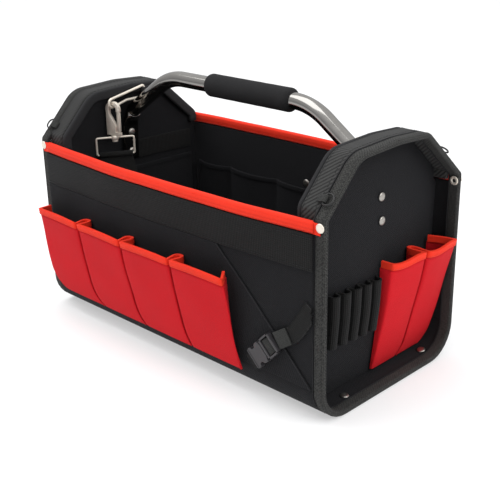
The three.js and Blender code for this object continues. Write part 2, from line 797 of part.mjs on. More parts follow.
// Where the strap ring and the hook lie, in the +X end's own frame
const ringPlane = hoodEdge - seat * 3 - seamRollWall - ringWire - tabWall;
const ringSeat = tubeTopAt(ringPlane) + ringWire + seat * 2;
const ringBarY = -tubeRadius - ringWire * 4;
const ringSlopeRun = 30;
const ringNoseY = hookY + 6;
const hookInner = hookHalf - hookBar;
const hookDip = (ringDip * (ringSlopeRun + hookY - ringNoseY)) / ringSlopeRun;
const hookBase = ringSeat - hookDip + ringWire + seat * 5 - hookArm - hookInner;

// The ring that carries the strap hook, a wide bar at the tab and a nose beside the tube
function makeStrapRing(group, side) {
  const corners = [
    { y: ringBarY, z: ringSeat, radius: 2.6 },
    { y: ringNoseY - ringSlopeRun, z: ringSeat, radius: ringSlopeRound },
    { y: ringNoseY, z: ringSeat - ringDip, radius: ringNoseRound },
    { y: ringNoseY, z: ringSeat - ringDip + ringNose, radius: ringNoseRound },
    { y: ringBarY, z: ringSeat + ringBar, radius: 2.6 },
  ];
  const ring = addPart(group, `strap_ring_${side}`, wireLoop(corners, ringWire, 3, 7), nickel);
  ring.position.x = ringPlane;
  const tab = addPart(group, `ring_tab_${side}`, tabGeometry(ringWire, ringTabLength, tabWidth), webbing);
  const place = new THREE.Vector3(ringPlane, ringBarY, ringSeat + ringBar / 2);
  placeByAxes(tab, new THREE.Vector3(0, 1, 0), new THREE.Vector3(-1, 0, 0), place);
}

function uprightExtrusion(shape, depth) {
  const geometry = new THREE.ExtrudeGeometry(shape, { depth, bevelEnabled: false, curveSegments: 6 });
  return geometry.translate(0, 0, -depth / 2).rotateX(Math.PI / 2);
}

function uprightCylinder(radius, height, middle, sides) {
  const geometry = new THREE.CylinderGeometry(radius, radius, height, sides);
  return geometry.rotateX(Math.PI / 2).translate(0, 0, middle);
}

// Swivel snap hook: a C of flat metal with a stem below, its sprung gate and its wire loop
function makeHook(group, side) {
  const hook = new THREE.Group();
  hook.position.set(ringPlane, hookY, hookBase);
  hook.rotation.z = Math.PI + hookTurn * degrees;
  group.add(hook);

  const foot = -3;
  const pivotX = hookHalf - gateHalf - 0.2;
  const blockEdge = pivotX - gateHalf * 2.2;
  const noseTip = hookArm - noseDrop;
  const shape = new THREE.Shape();
  shape.moveTo(-hookHalf, foot);
  shape.lineTo(hookHalf, foot);
  shape.lineTo(hookHalf, gatePivotRise - gateHalf - seat);
  shape.lineTo(blockEdge, gatePivotRise - gateHalf - seat);
  shape.lineTo(blockEdge, gatePivotRise * 2);
  shape.lineTo(blockEdge - swingRoom, gatePivotRise * 3.5);
  shape.lineTo(-hookInner, gatePivotRise * 6.6);
  shape.lineTo(-hookInner, hookArm);
  shape.absarc(0, hookArm, hookInner, Math.PI, 0, true);
  shape.lineTo(hookInner, noseTip);
  shape.lineTo(hookHalf, noseTip);
  shape.lineTo(hookHalf, hookArm);
  shape.absarc(0, hookArm, hookHalf, 0, Math.PI, false);
  shape.closePath();
  const stemFall = collarHeight + seat * 2;
  const overlap = 0.5;
  const stem = uprightCylinder(stemRadius, stemFall + overlap * 2, foot - stemFall / 2, 12);
  const headMiddle = foot - stemFall - stemHeadHeight / 2;
  const head = uprightCylinder(stemHeadRadius, stemHeadHeight, headMiddle, 12);
  const body = toSolid(uprightExtrusion(shape, hookWall)).add(toSolid(stem)).add(toSolid(head));
  addPart(hook, `hook_body_${side}`, fromSolid(body), nickel);

  const gate = new THREE.Shape();
  gate.moveTo(gateHalf, 0);
  gate.lineTo(gateHalf, noseTip - gatePivotRise - seat);
  gate.lineTo(-gateHalf, noseTip - gatePivotRise - seat);
  gate.lineTo(-gateHalf, 0);
  gate.absarc(0, 0, gateHalf, Math.PI, Math.PI * 2, false);
  const gateMesh = addPart(hook, `hook_gate_${side}`, uprightExtrusion(gate, gateWall), nickel);
  gateMesh.position.set(pivotX, 0, gatePivotRise);

  const collarMiddle = foot - seat - collarHeight / 2;
  const half = shoulderWidth / 2 + loopWire * 2;
  const loopCorners = [
    { y: -half, z: collarMiddle, radius: loopWire * 1.6 },
    { y: -half, z: collarMiddle - loopFall, radius: loopWire * 1.6 },
    { y: half, z: collarMiddle - loopFall, radius: loopWire * 1.6 },
    { y: half, z: collarMiddle, radius: loopWire * 1.6 },
  ];
  const wire = toSolid(wireLoop(loopCorners, loopWire, 3, 7).rotateZ(-Math.PI / 2));
  const collar = toSolid(uprightCylinder(collarRadius, collarHeight, collarMiddle, 16));
  const bore = toSolid(uprightCylinder(stemRadius + seat, collarHeight * 2, collarMiddle, 16));
  const loop = addPart(hook, `hook_loop_${side}`, fromSolid(wire.add(collar).subtract(bore)), nickel);
  loop.rotation.z = (loopTurn - hookTurn) * degrees;
}

// The plain strap that runs from one hook down into the bag, along its floor and up again
function makeShoulderStrap() {
  const barZ = hookBase - 3 - seat - collarHeight / 2 - loopFall;
  const floorZ = wall + seat + shoulderWall / 2;
  const eye = loopWire + seat;
  const startZ = barZ - eye - shoulderWall * 0.4;
  const drop = startZ - floorZ;
  const bend = shoulderBend;
  const farX = ringPlane - shoulderLie;
  const farY = hookY * 0.75;
  const route = [
    [0, 0, 0], [0.1, 0.2, 0.08], [0.25, 0.5, 0.25], [0.45, 0.75, 0.5], [0.7, 0.92, 0.75],
    [1 - bend / drop, 1, 0.9],
  ];
  const half = route.map(([fall, inwards, turned]) => ({
    x: -mix(ringPlane, farX, inwards),
    y: -mix(hookY, farY, inwards),
    z: startZ - fall * drop,
    turn: mix(loopTurn, shoulderTurn, turned),
  }));
  for (const angle of [30, 60, 90]) {
    const swing = angle * degrees;
    half.push({
      x: -farX + bend * (1 - Math.cos(swing)),
      y: -farY * (1 - 0.03 * (angle / 90)),
      z: floorZ + bend * (1 - Math.sin(swing)),
      turn: shoulderTurn,
    });
  }
  const onFloor = half[half.length - 1];
  for (const share of [0.25, 0.5, 0.75]) {
    half.push({ x: onFloor.x * (1 - share), y: onFloor.y * (1 - share), z: floorZ, turn: shoulderTurn });
  }
  const stations = [...half, { x: 0, y: 0, z: floorZ, turn: shoulderTurn }];
  [...half].reverse().forEach((s) => stations.push({ ...s, x: -s.x, y: -s.y }));
  const place = stations.map((s) => new THREE.Vector3(s.x, s.y, s.z));
  const sections = stations.map((station, i) => {
    const before = place[Math.max(i - 1, 0)];
    const after = place[Math.min(i + 1, place.length - 1)];
    const along = after.clone().sub(before).normalize();
    if (i === 0 || i === place.length - 1) {
      along.set(0, 0, i === 0 ? -1 : 1);
    }
    const turn = station.turn * degrees;
    const across = new THREE.Vector3(Math.cos(turn), Math.sin(turn), 0);
    const out = new THREE.Vector3().crossVectors(along, across).normalize();
    const corner = (a, b) => place[i].clone()
      .addScaledVector(across, (a * shoulderWidth) / 2)
      .addScaledVector(out, (b * shoulderWall) / 2);
    return [corner(-1, -1), corner(1, -1), corner(1, 1), corner(-1, 1)];
  });
  let strap = toSolid(sectionBody(sections, false));
  for (const sign of [-1, 1]) {
    const eyeAt = (radius) => new THREE.CylinderGeometry(radius, radius, shoulderWidth, 16)
      .rotateZ(-Math.PI / 2)
      .rotateZ(loopTurn * degrees)
      .translate(sign * ringPlane, sign * hookY, barZ);
    strap = strap.add(toSolid(eyeAt(eye + shoulderWall)));
    const clear = new THREE.CylinderGeometry(eye, eye, shoulderWidth * 1.2, 16)
      .rotateZ(-Math.PI / 2)
      .rotateZ(loopTurn * degrees)
      .translate(sign * ringPlane, sign * hookY, barZ);
    strap = strap.subtract(toSolid(clear));
  }
  addPart(tote, 'shoulder_strap', fromSolid(strap), webbing);
}

// Four small rings in webbing tabs, one on each slope of the hoods
function makeSideRings(group, side) {
  const eye = sideRingWire + seat;
  const lift = seat + eye + tabWall;
  const eyeX = halfLength - sideRingReach - sideRingWire;
  const [low, high] = endSlopes(side);
  for (const [where, facing, slope] of [['near', -1, low], ['far', 1, high]]) {
    const run = halfWidth - slope.plateau;
    const climb = gableHeight - gableCrown - slope.eave;
    const length = Math.hypot(run, climb);
    const share = slope === frontSlope ? frontRingShare : backRingShare;
    const normal = new THREE.Vector3(0, (facing * climb) / length, run / length);
    const foot = new THREE.Vector3(eyeX, facing * (halfWidth - run * share), slope.eave + climb * share);
    const middle = foot.addScaledVector(normal, lift);
    const endways = new THREE.Vector3(1, 0, 0);
    const half = sideRingSpan / 2;
    const corners = [
      { y: 0, z: -half, radius: 1.8 },
      { y: sideRingReach, z: -half, radius: half - 0.5 },
      { y: sideRingReach, z: half, radius: half - 0.5 },
      { y: 0, z: half, radius: 1.8 },
    ];
    const ring = addPart(group, `side_ring_${where}_${side}`, wireLoop(corners, sideRingWire, 3, 6), plastic);
    placeByAxes(ring, normal, endways, middle);
    const tab = addPart(group, `side_tab_${where}_${side}`, tabGeometry(sideRingWire, 9, tabWidth - 1.5), webbing);
    placeByAxes(tab, endways, normal, middle);
  }
}

// Buckle, its short anchor and the strap that runs up to the bound edge of the hood
function makeFrontStrap() {
  const along = new THREE.Vector2(Math.cos(buckleTurn * degrees), Math.sin(buckleTurn * degrees));
  const across = new THREE.Vector2(-along.y, along.x);
  const at = (a, b) => new THREE.Vector2(buckleX, buckleZ).addScaledVector(along, a).addScaledVector(across, b);
  const layerOut = seat + clothWall;
  const highest = Math.max(...[-1, 1].flatMap((a) => [-1, 1].map((b) => {
    const corner = at((a * buckleLength) / 2, (b * buckleWidth) / 2);
    return bow(corner.x, corner.y, frontBow);
  })));
  const buckleBack = -(halfWidth + highest + layerOut + seat);
  const plate = (outline, thickness) => {
    const shape = new THREE.Shape(outline.map(([a, b]) => at(a, b)));
    const geometry = new THREE.ExtrudeGeometry(shape, { depth: thickness, bevelEnabled: false });
    return geometry.rotateX(Math.PI / 2).translate(0, buckleBack, 0);
  };
  const end = buckleLength / 2;
  const side = buckleWidth / 2;
  const tongueBack = 2;
  const maleOutline = [[tongueBack, -side], [end, -side], [end, side], [tongueBack, side]];
  addPart(tote, 'buckle_male', plate(maleOutline, buckleWall * 0.8), plastic);
  const waist = side - 3;
  const front = tongueBack - seat;
  const femaleOutline = [
    [-end, -side + 2], [-end + 2, -side + 1], [-end * 0.45, -side + 1], [-end * 0.3, -waist], [front - 3, -waist],
    [front, -side + 1], [front, side - 1], [front - 3, waist], [-end * 0.3, waist], [-end * 0.45, side - 1],
    [-end + 2, side - 1], [-end, side - 2],
  ];
  addPart(tote, 'buckle_female', plate(femaleOutline, buckleWall), plastic);

  const half = strapWidth / 2;
  const anchorStart = -end - seat;
  const anchor = sheetBody([anchorStart - anchorLength, anchorStart], [-half, half], (a, b, w) => {
    const place = at(a, b);
    return new THREE.Vector3(place.x, frontFace(place.x, place.y) - layerOut - seat - w * strapWall, place.y);
  });
  addPart(tote, 'buckle_anchor', anchor, webbing);

  const strapStart = at(end + seat, 0);
  const middleLine = [
    strapStart,
    strapStart.clone().add(new THREE.Vector2(strapWidth * 0.7, strapWidth * 0.45)),
    strapStart.clone().add(new THREE.Vector2(strapWidth * 1.35, strapWidth * 0.95)),
    new THREE.Vector2(panelEnd, strapStart.y + (panelEnd - strapStart.x) * strapClimb),
  ];
  const curve = new THREE.SplineCurve(middleLine);
  const lengths = shares(10);
  const strapAt = (lift, thickness) => (u, b, w) => {
    const point = curve.getPoint(u);
    const run = curve.getTangent(u);
    const turned = u === 0 ? along : run;
    const x = Math.min(point.x - turned.y * b, panelEnd);
    const z = point.y + turned.x * b;
    const rise = layerOut * Math.min(1, Math.max(0, 1.7 - u * 4));
    return new THREE.Vector3(x, frontFace(x, z) - rise - seat - lift - w * thickness, z);
  };
  addPart(tote, 'buckle_strap', sheetBody(lengths, [-half, half], strapAt(0, strapWall)), webbing);
  const foldShares = [0.08, 0.2, 0.32, 0.44];
  const fold = sheetBody(foldShares, [-half, half], strapAt(strapWall + seat, strapWall));
  addPart(tote, 'strap_fold', fold, webbing);
}

// Shallow pockets and a webbing band on the inner walls
function makeInnerPockets() {
  const seams = [-innerPocketReach];
  const outermost = innerBayPitch * 1.5;
  for (let x = -outermost; x <= outermost; x += innerBayPitch) {
    seams.push(x);
  }
  seams.push(innerPocketReach);
  const stops = [];
  const sag = [0, 0.7, 1, 0.7];
  for (let bay = 0; bay < seams.length - 1; bay += 1) {
    sag.forEach((out, i) => stops.push({ x: mix(seams[bay], seams[bay + 1], i / sag.length), out }));
  }
  stops.push({ x: innerPocketReach, out: 0 });
  const bottom = bottomRadius + seat;
  const rows = shares(4).map((v) => mix(bottom, innerPocketTop, v));
  const back = sheetBody(stops, rows, (stop, z, w) => {
    const rise = (z - bottom) / (innerPocketTop - bottom);
    const out = stop.out * innerPocketDepth * rise + seat + w * clothWall;
    return new THREE.Vector3(stop.x, backFace(stop.x, z) - wall - out, z);
  });
  addPart(tote, 'inner_pocket_back', back, cloth);

  const columns = shares(8).map((u) => u * 2 - 1);
  const leftRows = shares(4).map((v) => mix(leftPocketBottom, leftPocketTop, v));
  const left = sheetBody(columns, leftRows, (u, z, w) => {
    const y = u * leftPocketReach;
    const rise = (z - leftPocketBottom) / (leftPocketTop - leftPocketBottom);
    const out = (1 - u ** 2) * leftPocketDepth * rise + curvedSeat + w * clothWall;
    return new THREE.Vector3(-(endFace(y, z) - panelWall - out), y, z);
  });
  addPart(tote, 'inner_pocket_left', left, cloth);

  const bandStart = legWidth / 2 + seat * 5;
  const bandColumns = shares(5).map((u) => mix(bandStart, leftPocketReach, u));
  const bandRows = [innerBandBottom, innerBandBottom + innerBandHeight];
  const band = sheetBody(bandColumns, bandRows, (y, z, w) => (
    new THREE.Vector3(-(endFace(y, z) - panelWall - curvedSeat - w * clothWall), y, z)
  ));
  addPart(tote, 'inner_band_left', band, webbing);
}

makeBase();
makeLongWall('front', frontFace);
makeLongWall('back', backFace);
makeFrontLayer();
makeFrontPockets();
makeEndPockets();
makeToolLoops();
makeFrontStrap();
makeInnerPockets();
for (const [side, turn] of [['right', 0], ['left', Math.PI]]) {
  const end = new THREE.Group();
  end.rotation.z = turn;
  tote.add(end);
  makeEndPanel(end, side);
  makeHood(end, side);
  makeHandleRivets(end, side);
  makeSideRings(end, side);
  makeStrapRing(end, side);
  makeHook(end, side);
}
makeRimRivets();
makeFloorRivets();
makeHandle();
makeShoulderStrap();

export default tote;
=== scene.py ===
"""Open top tool tote in black and red cloth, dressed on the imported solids.

Run from top to bottom in Blender 4.5. Sizes are in metres: x runs along the bag towards the
end with the tool loops, y to the back, z up, and the origin is the middle of the flat bottom.
"""
import math

import bpy
import numpy as np
from mathutils import Matrix, Vector


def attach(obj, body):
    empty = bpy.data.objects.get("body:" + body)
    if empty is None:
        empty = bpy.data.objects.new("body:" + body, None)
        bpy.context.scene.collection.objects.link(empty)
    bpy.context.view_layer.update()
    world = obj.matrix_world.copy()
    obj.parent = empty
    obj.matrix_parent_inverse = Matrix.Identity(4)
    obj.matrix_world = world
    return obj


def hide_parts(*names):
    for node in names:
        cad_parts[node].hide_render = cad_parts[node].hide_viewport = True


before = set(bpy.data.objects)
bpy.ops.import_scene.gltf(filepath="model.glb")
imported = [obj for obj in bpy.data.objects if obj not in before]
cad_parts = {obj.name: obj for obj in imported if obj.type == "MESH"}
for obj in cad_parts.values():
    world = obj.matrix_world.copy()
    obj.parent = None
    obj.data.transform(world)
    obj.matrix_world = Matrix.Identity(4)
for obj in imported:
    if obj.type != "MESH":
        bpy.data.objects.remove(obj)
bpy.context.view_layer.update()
scene = bpy.context.scene
mm = 0.001

# The camera stands where the photograph was taken from, above the right front corner of the
# bag. Its place and its turns come from fitting the bag's own corners to the photograph.
camera_data = bpy.data.cameras.new("camera")
camera_data.lens = 68.33
camera_data.sensor_width = 36.0
camera_data.sensor_fit = "HORIZONTAL"
camera_data.clip_start = 0.05
camera = bpy.data.objects.new("camera", camera_data)
scene.collection.objects.link(camera)
camera_azimuth, camera_height, camera_roll = (math.radians(a) for a in (44.81, 21.48, -0.98))
towards_camera = Vector((
    math.sin(camera_azimuth) * math.cos(camera_height),
    -math.cos(camera_azimuth) * math.cos(camera_height),
    math.sin(camera_height),
))
level_right = (-towards_camera).cross(Vector((0, 0, 1))).normalized()
level_up = level_right.cross(-towards_camera)
view_right = level_right * math.cos(camera_roll) + level_up * math.sin(camera_roll)
view_up = level_up * math.cos(camera_roll) - level_right * math.sin(camera_roll)
turn = Matrix((view_right, view_up, towards_camera)).transposed().to_4x4()
camera_place = Vector((0.8274, -0.8138, 0.5650))
camera.matrix_world = Matrix.Translation(camera_place) @ turn
scene.camera = camera

# A plain pale studio: a wide floor, a white surround that is dimmer near the horizon, and two
# soft lamps, the larger one overhead and to the left, as the soft shadow beside the bag shows.
scene.view_settings.view_transform = "Standard"
scene.view_settings.look = "None"
surround = bpy.data.worlds.new("surround")
scene.world = surround
surround.use_nodes = True
sky_tree = surround.node_tree
sky_way = sky_tree.nodes.new("ShaderNodeTexCoord")
sky_parts = sky_tree.nodes.new("ShaderNodeSeparateXYZ")
sky_ramp = sky_tree.nodes.new("ShaderNodeValToRGB")
horizon, overhead = sky_ramp.color_ramp.elements
horizon.color = (0.46, 0.46, 0.47, 1.0)
overhead.position, overhead.color = 0.75, (1.0, 1.0, 1.0, 1.0)
sky_tree.links.new(sky_way.outputs["Generated"], sky_parts.inputs[0])
sky_tree.links.new(sky_parts.outputs["Z"], sky_ramp.inputs[0])
sky_tree.links.new(sky_ramp.outputs[0], sky_tree.nodes["Background"].inputs["Color"])
sky_tree.nodes["Background"].inputs["Strength"].default_value = 1.15


def soft_lamp(name, power, size, place, aim):
    """A square lamp of the given size at a place, turned to face a point."""
    lamp = bpy.data.lights.new(name, "AREA")
    lamp.energy = power
    lamp.size = size
    holder = bpy.data.objects.new(name, lamp)
    scene.collection.objects.link(holder)
    holder.location = place
    holder.rotation_euler = (Vector(aim) - Vector(place)).to_track_quat("-Z", "Y").to_euler()


soft_lamp("lamp_overhead", 22.0, 1.6, (-0.5, -0.5, 1.9), (0.0, 0.0, 0.1))
soft_lamp("lamp_right", 12.0, 1.0, (1.6, 0.2, 1.1), (0.1, 0.0, 0.15))


def new_material(name):
    """A new node material, with its node tree and its shader."""
    material = bpy.data.materials.new(name)
    material.use_nodes = True
    return material, material.node_tree, material.node_tree.nodes["Principled BSDF"]


floor_reach, floor_drop = 6, 0.0006
floor_corners = [(x * floor_reach, y * floor_reach, 0) for x, y in ((-1, -1), (1, -1), (1, 1), (-1, 1))]
floor_mesh = bpy.data.meshes.new("floor")
floor_mesh.from_pydata(floor_corners, [], [(0, 1, 2, 3)])
floor = bpy.data.objects.new("floor", floor_mesh)
scene.collection.objects.link(floor)
floor_paint, _, floor_shader = new_material("floor_paint")
for socket, value in {
    "Base Color": (0.55, 0.55, 0.555, 1.0), "Emission Color": (1.0, 1.0, 1.0, 1.0), "Emission Strength": 0.42,
    "Specular IOR Level": 0.1, "Roughness": 0.75,
}.items():
    floor_shader.inputs[socket].default_value = value
floor_mesh.materials.append(floor_paint)
floor.location.z = -floor_drop

# The bottom is one padded board, covered in black polyester cloth and bent up into two round
# corners, so that the bag has no seam where it stands. The walls are sewn to its two edges.
half_length, half_width, rim_top = 250 * mm, 125 * mm, 238 * mm
corner_round = 42 * mm
board = 6 * mm
gap = 0.3 * mm
edge_width = 14 * mm
panel_end = half_length - edge_width - gap


def math_node(tree, kind, first, second=None):
    """One Math node; first and second are sockets or numbers."""
    node = tree.nodes.new("ShaderNodeMath")
    node.operation = kind
    for socket, value in zip(node.inputs, (first, second)):
        if value is None:
            continue
        if isinstance(value, (int, float)):
            socket.default_value = value
        else:
            tree.links.new(value, socket)
    return node.outputs[0]


def noise_node(tree, scale, detail=2.0, stretch=(1, 1, 1)):
    """Noise on the Object coordinates, which stretch multiplies; scale is waves in a metre."""
    place = tree.nodes.new("ShaderNodeTexCoord")
    mapping = tree.nodes.new("ShaderNodeMapping")
    mapping.inputs["Scale"].default_value = stretch
    noise = tree.nodes.new("ShaderNodeTexNoise")
    noise.inputs["Scale"].default_value = scale
    noise.inputs["Detail"].default_value = detail
    tree.links.new(place.outputs["Object"], mapping.inputs["Vector"])
    tree.links.new(mapping.outputs[0], noise.inputs["Vector"])
    return noise.outputs[0]


def tone(tree, shader, shade, dark, light, start=0.0):
    """Base colour that goes from a dark to a light tone as the shade goes from start to one."""
    ramp = tree.nodes.new("ShaderNodeValToRGB")
    low, high = ramp.color_ramp.elements
    low.position, low.color, high.color = start, (*dark, 1.0), (*light, 1.0)
    tree.links.new(shade, ramp.inputs[0])
    tree.links.new(ramp.outputs[0], shader.inputs["Base Color"])


def roughen(tree, shader, noise, rough, spread):
    """Roughness that noise varies by half the spread to both sides of a value."""
    varied = math_node(tree, "ADD", math_node(tree, "MULTIPLY", noise, spread), rough - spread / 2)
    tree.links.new(varied, shader.inputs["Roughness"])


def raise_relief(tree, shader, height, relief):
    """Bump from a height of zero to one, which stands for that many metres."""
    bump = tree.nodes.new("ShaderNodeBump")
    bump.inputs["Distance"].default_value = relief
    tree.links.new(height, bump.inputs["Height"])
    tree.links.new(bump.outputs[0], shader.inputs["Normal"])


def uv_axes(tree, pitch):
    """The piece's UV map, which is in metres, as two numbers counted in threads."""
    coordinates = tree.nodes.new("ShaderNodeTexCoord")
    parts = tree.nodes.new("ShaderNodeSeparateXYZ")
    tree.links.new(coordinates.outputs["UV"], parts.inputs[0])
    return [math_node(tree, "MULTIPLY", parts.outputs[k], 1.0 / pitch) for k in (0, 1)]


def weave_height(tree, pitch, kind):
    """Height of a weave: plain is two crossed sets of round threads that swap at each square,
    twill is slanted ridges, ribbed is ridges across the tape with fine threads between."""
    def mixed(operation, first, second):
        return math_node(tree, operation, first, second)

    def ridges(threads):
        return math_node(tree, "ABSOLUTE", math_node(tree, "SINE", mixed("MULTIPLY", threads, math.pi)))

    u, v = uv_axes(tree, pitch)
    if kind == "plain":
        squares = mixed("ADD", math_node(tree, "FLOOR", u), math_node(tree, "FLOOR", v))
        over = mixed("MODULO", math_node(tree, "ABSOLUTE", squares), 2.0)
        under = mixed("SUBTRACT", 1.0, over)
        return mixed("ADD", mixed("MULTIPLY", ridges(u), over), mixed("MULTIPLY", ridges(v), under))
    if kind == "twill":
        return ridges(mixed("ADD", u, v))
    return mixed("ADD", mixed("MULTIPLY", ridges(u), 0.75), mixed("MULTIPLY", ridges(v), 0.45))


def cloth(
    name, valley_painted_shade, crown, pitch, kind, rough=0.85, relief=0.0002,
    sheen=0.03, tint=(0.9, 0.92, 1.0), speckle=0.3,
):
    """Woven cloth: thread crowns are lighter than the hollows between them, which is painted shade
    that follows the same height that drives the bump, and broad and fine noise shifts the shade a
    little, as handling does. Speckle is the share of single light threads, about which the mean
    shade stays the same."""
    material, tree, shader = new_material(name)
    height = weave_height(tree, pitch, kind)
    broad, fine = noise_node(tree, 18.0, 3.0), noise_node(tree, 620.0)
    # Painted shade: the weave's height sets the tone, so the hollows between threads are dark and the crowns
    # light.
    weave_painted_shade = math_node(tree, "MULTIPLY", height, 0.62)
    broad_share = math_node(tree, "MULTIPLY", broad, 0.38)
    shade = math_node(tree, "ADD", math_node(tree, "ADD", weave_painted_shade, broad_share), 0.15)
    threads = math_node(tree, "MULTIPLY", math_node(tree, "SUBTRACT", fine, 0.5), speckle)
    tone(tree, shader, math_node(tree, "ADD", shade, threads), valley_painted_shade, crown, 0.12)
    roughen(tree, shader, broad, rough, 0.16)
    lift = math_node(tree, "ADD", height, math_node(tree, "MULTIPLY", fine, 0.6))
    raise_relief(tree, shader, lift, relief)
    shader.inputs["Specular IOR Level"].default_value = 0.14
    shader.inputs["Sheen Weight"].default_value = sheen
    shader.inputs["Sheen Roughness"].default_value = 0.5
    shader.inputs["Sheen Tint"].default_value = (*tint, 1.0)
    return material


def lengths_along(points, axis):
    """Running length along the middle line of a grid, used as one UV axis."""
    middle = np.take(points, points.shape[1 - axis] // 2, axis=1 - axis)
    steps = np.linalg.norm(np.diff(middle, axis=0), axis=1)
    return np.concatenate([[0.0], np.cumsum(steps)])


def grid_piece(name, points, wrap_u=False, wrap_v=False, caps=False, uv=None):
    """A mesh from a grid of points: each cell is a quad, and wrap joins the last row or column
    to the first. The UV map holds running lengths along the rows and columns, in metres."""
    rows, columns = points.shape[:2]
    if uv is None:
        run_u, run_v = lengths_along(points, 0), lengths_along(points, 1)
    else:
        run_u, run_v = uv
    cells_u = rows if wrap_u else rows - 1
    cells_v = columns if wrap_v else columns - 1
    i, j = np.meshgrid(np.arange(cells_u), np.arange(cells_v), indexing="ij")
    next_i, next_j = (i + 1) % rows, (j + 1) % columns
    corners = [i * columns + j, next_i * columns + j, next_i * columns + next_j, i * columns + next_j]
    faces = np.stack(corners, -1).reshape(-1, 4).tolist()
    if caps:
        faces.append(list(range(columns)))
        faces.append([(rows - 1) * columns + k for k in reversed(range(columns))])
    mesh = bpy.data.meshes.new(name)
    mesh.from_pydata(points.reshape(-1, 3).tolist(), [], faces)
    step_u = run_u[-1] / max(rows - 1, 1)
    step_v = run_v[-1] / max(columns - 1, 1)
    long_u = np.append(run_u, run_u[-1] + step_u)
    long_v = np.append(run_v, run_v[-1] + step_v)
    corner_u = np.stack([long_u[i], long_u[i + 1], long_u[i + 1], long_u[i]], -1).reshape(-1)
    corner_v = np.stack([long_v[j], long_v[j], long_v[j + 1], long_v[j + 1]], -1).reshape(-1)
    layer = mesh.uv_layers.new(name="UVMap")
    values = np.zeros((len(mesh.loops), 2), np.float32)
    values[: corner_u.size, 0] = corner_u
    values[: corner_v.size, 1] = corner_v
    layer.data.foreach_set("uv", values.reshape(-1))
    piece = bpy.data.objects.new(name, mesh)
    scene.collection.objects.link(piece)
    mesh.shade_smooth()
    return piece


def turned_out(piece):
    """Points the faces of a closed mesh outwards by the sign of its volume."""
    mesh = piece.data
    mesh.calc_loop_triangles()
    at = np.zeros(len(mesh.vertices) * 3)
    mesh.vertices.foreach_get("co", at)
    at = at.reshape(-1, 3)
    corners = np.zeros(len(mesh.loop_triangles) * 3, np.int32)
    mesh.loop_triangles.foreach_get("vertices", corners)
    a, b, c = (at[corners.reshape(-1, 3)[:, k]] for k in range(3))
    if np.einsum("ij,ij->", a, np.cross(b, c)) < 0:
        mesh.flip_normals()
    return piece


def thickened(piece, wall, edge=0.0):
    """Gives a sheet its wall towards its back face, and rounds its cut edges."""
    solidify = piece.modifiers.new("wall", "SOLIDIFY")
    solidify.thickness = wall
    solidify.offset = -1
    solidify.use_even_offset = False
    solidify.use_quality_normals = True
    if edge:
        bevel = piece.modifiers.new("edge", "BEVEL")
        bevel.width = edge
        bevel.segments = 2
        bevel.limit_method = "ANGLE"
        bevel.angle_limit = math.radians(50)
    return piece


def dress(piece, material, nodes=(), body="tote"):
    """Gives a piece its material, the solids it stands for and the body it rides on."""
    piece.data.materials.clear()
    piece.data.materials.append(material)
    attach(piece, body)
    if nodes:
        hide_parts(*nodes)
    return piece


black_cloth = cloth(
    "black_cloth", (0.002, 0.002, 0.0023), (0.0115, 0.0115, 0.013), 1.2 * mm, "plain", relief=0.0003
)
turn_angle = np.linspace(0, np.pi / 2, 24)
flat_half = half_width - corner_round
left_corner_y = -flat_half - corner_round * np.cos(turn_angle)
left_corner_z = corner_round * (1 - np.sin(turn_angle))
flat_y = np.linspace(-flat_half, flat_half, 22)[1:-1]
board_y = np.concatenate([left_corner_y, flat_y, -left_corner_y[::-1]])
board_z = np.concatenate([left_corner_z, flat_y * 0, left_corner_z[::-1]])
board_x = np.linspace(-panel_end, panel_end, 40)
board_points = np.stack(np.broadcast_arrays(board_x[:, None], board_y[None], board_z[None]), -1)
bottom = grid_piece("bottom_board", board_points[:, ::-1])
thickened(bottom, board, 0.8 * mm)
dress(bottom, black_cloth, ["base_panel"])

# The long walls are padded panels of the same cloth. They bow outwards most at the middle of
# the rim, and the cloth over the padding is a little uneven.
front_bow, back_bow = 14 * mm, 8 * mm
binding_height = 14 * mm
panel_top = rim_top - binding_height


def bow_out(x, z, most):
    """How far a long wall bows out: a parabola along the bag that grows with the height."""
    rise = np.clip((z - corner_round) / (rim_top - corner_round), 0, None)
    return most * (1 - (x / half_length) ** 2) * rise**1.2


def uneven(x, z):
    """Slow, shallow waves of padded cloth, fading out at the wall's ends and lower edge."""
    fade = np.clip((panel_end - np.abs(x)) / 0.05, 0, 1) * np.clip((z - corner_round) / 0.05, 0, 1)
    waves = np.sin(x * 31 + z * 14 + 0.6) + 0.7 * np.sin(x * 57 - z * 37 + 2.1)
    waves += 0.5 * np.sin(z * 71 + x * 19)
    return 0.45 * mm * waves * fade


def front_y(x, z):
    """Outer face of the front wall."""
    return -(half_width + bow_out(x, z, front_bow) + uneven(x, z))


def back_y(x, z):
    """Outer face of the back wall."""
    return half_width + bow_out(x, z, back_bow) + uneven(x + 0.31, z)


def wall_points(face, x, z, out):
    """Points at a distance out from the front or back wall's outer face."""
    away = -1 if face is front_y else 1
    return np.stack([x, face(x, z) + away * out, z], -1)


def wall_grid(face, xs, zs, out):
    """A rectangular sheet on a long wall, with its faces outwards."""
    x, z = np.meshgrid(xs, zs, indexing="ij")
    points = wall_points(face, x, z, out)
    return points if face is front_y else points[:, ::-1]


wall_xs = np.linspace(-panel_end, panel_end, 110)
for side, face in (("front", front_y), ("back", back_y)):
    wall_zs = np.linspace(corner_round + gap, panel_top, 48)
    wall = grid_piece(f"wall_{side}", wall_grid(face, wall_xs, wall_zs, 0))
    thickened(wall, board, 1.0 * mm)
    dress(wall, black_cloth, [f"{side}_panel"])

# A second layer of cloth covers the lower left of the front. Its slanted edge is turned over a
# thin cord, which shows as a fine raised line down to the right corner.
cloth_wall = 1.8 * mm
strip_height = 41 * mm
layer_top, layer_bottom = panel_top - strip_height - gap, corner_round + gap
layer_share = np.linspace(0, 1, 90)[:, None]
layer_z = np.broadcast_to(np.linspace(layer_bottom, layer_top, 36)[None], (90, 36))
layer_foot, layer_head = 234 * mm, 99 * mm


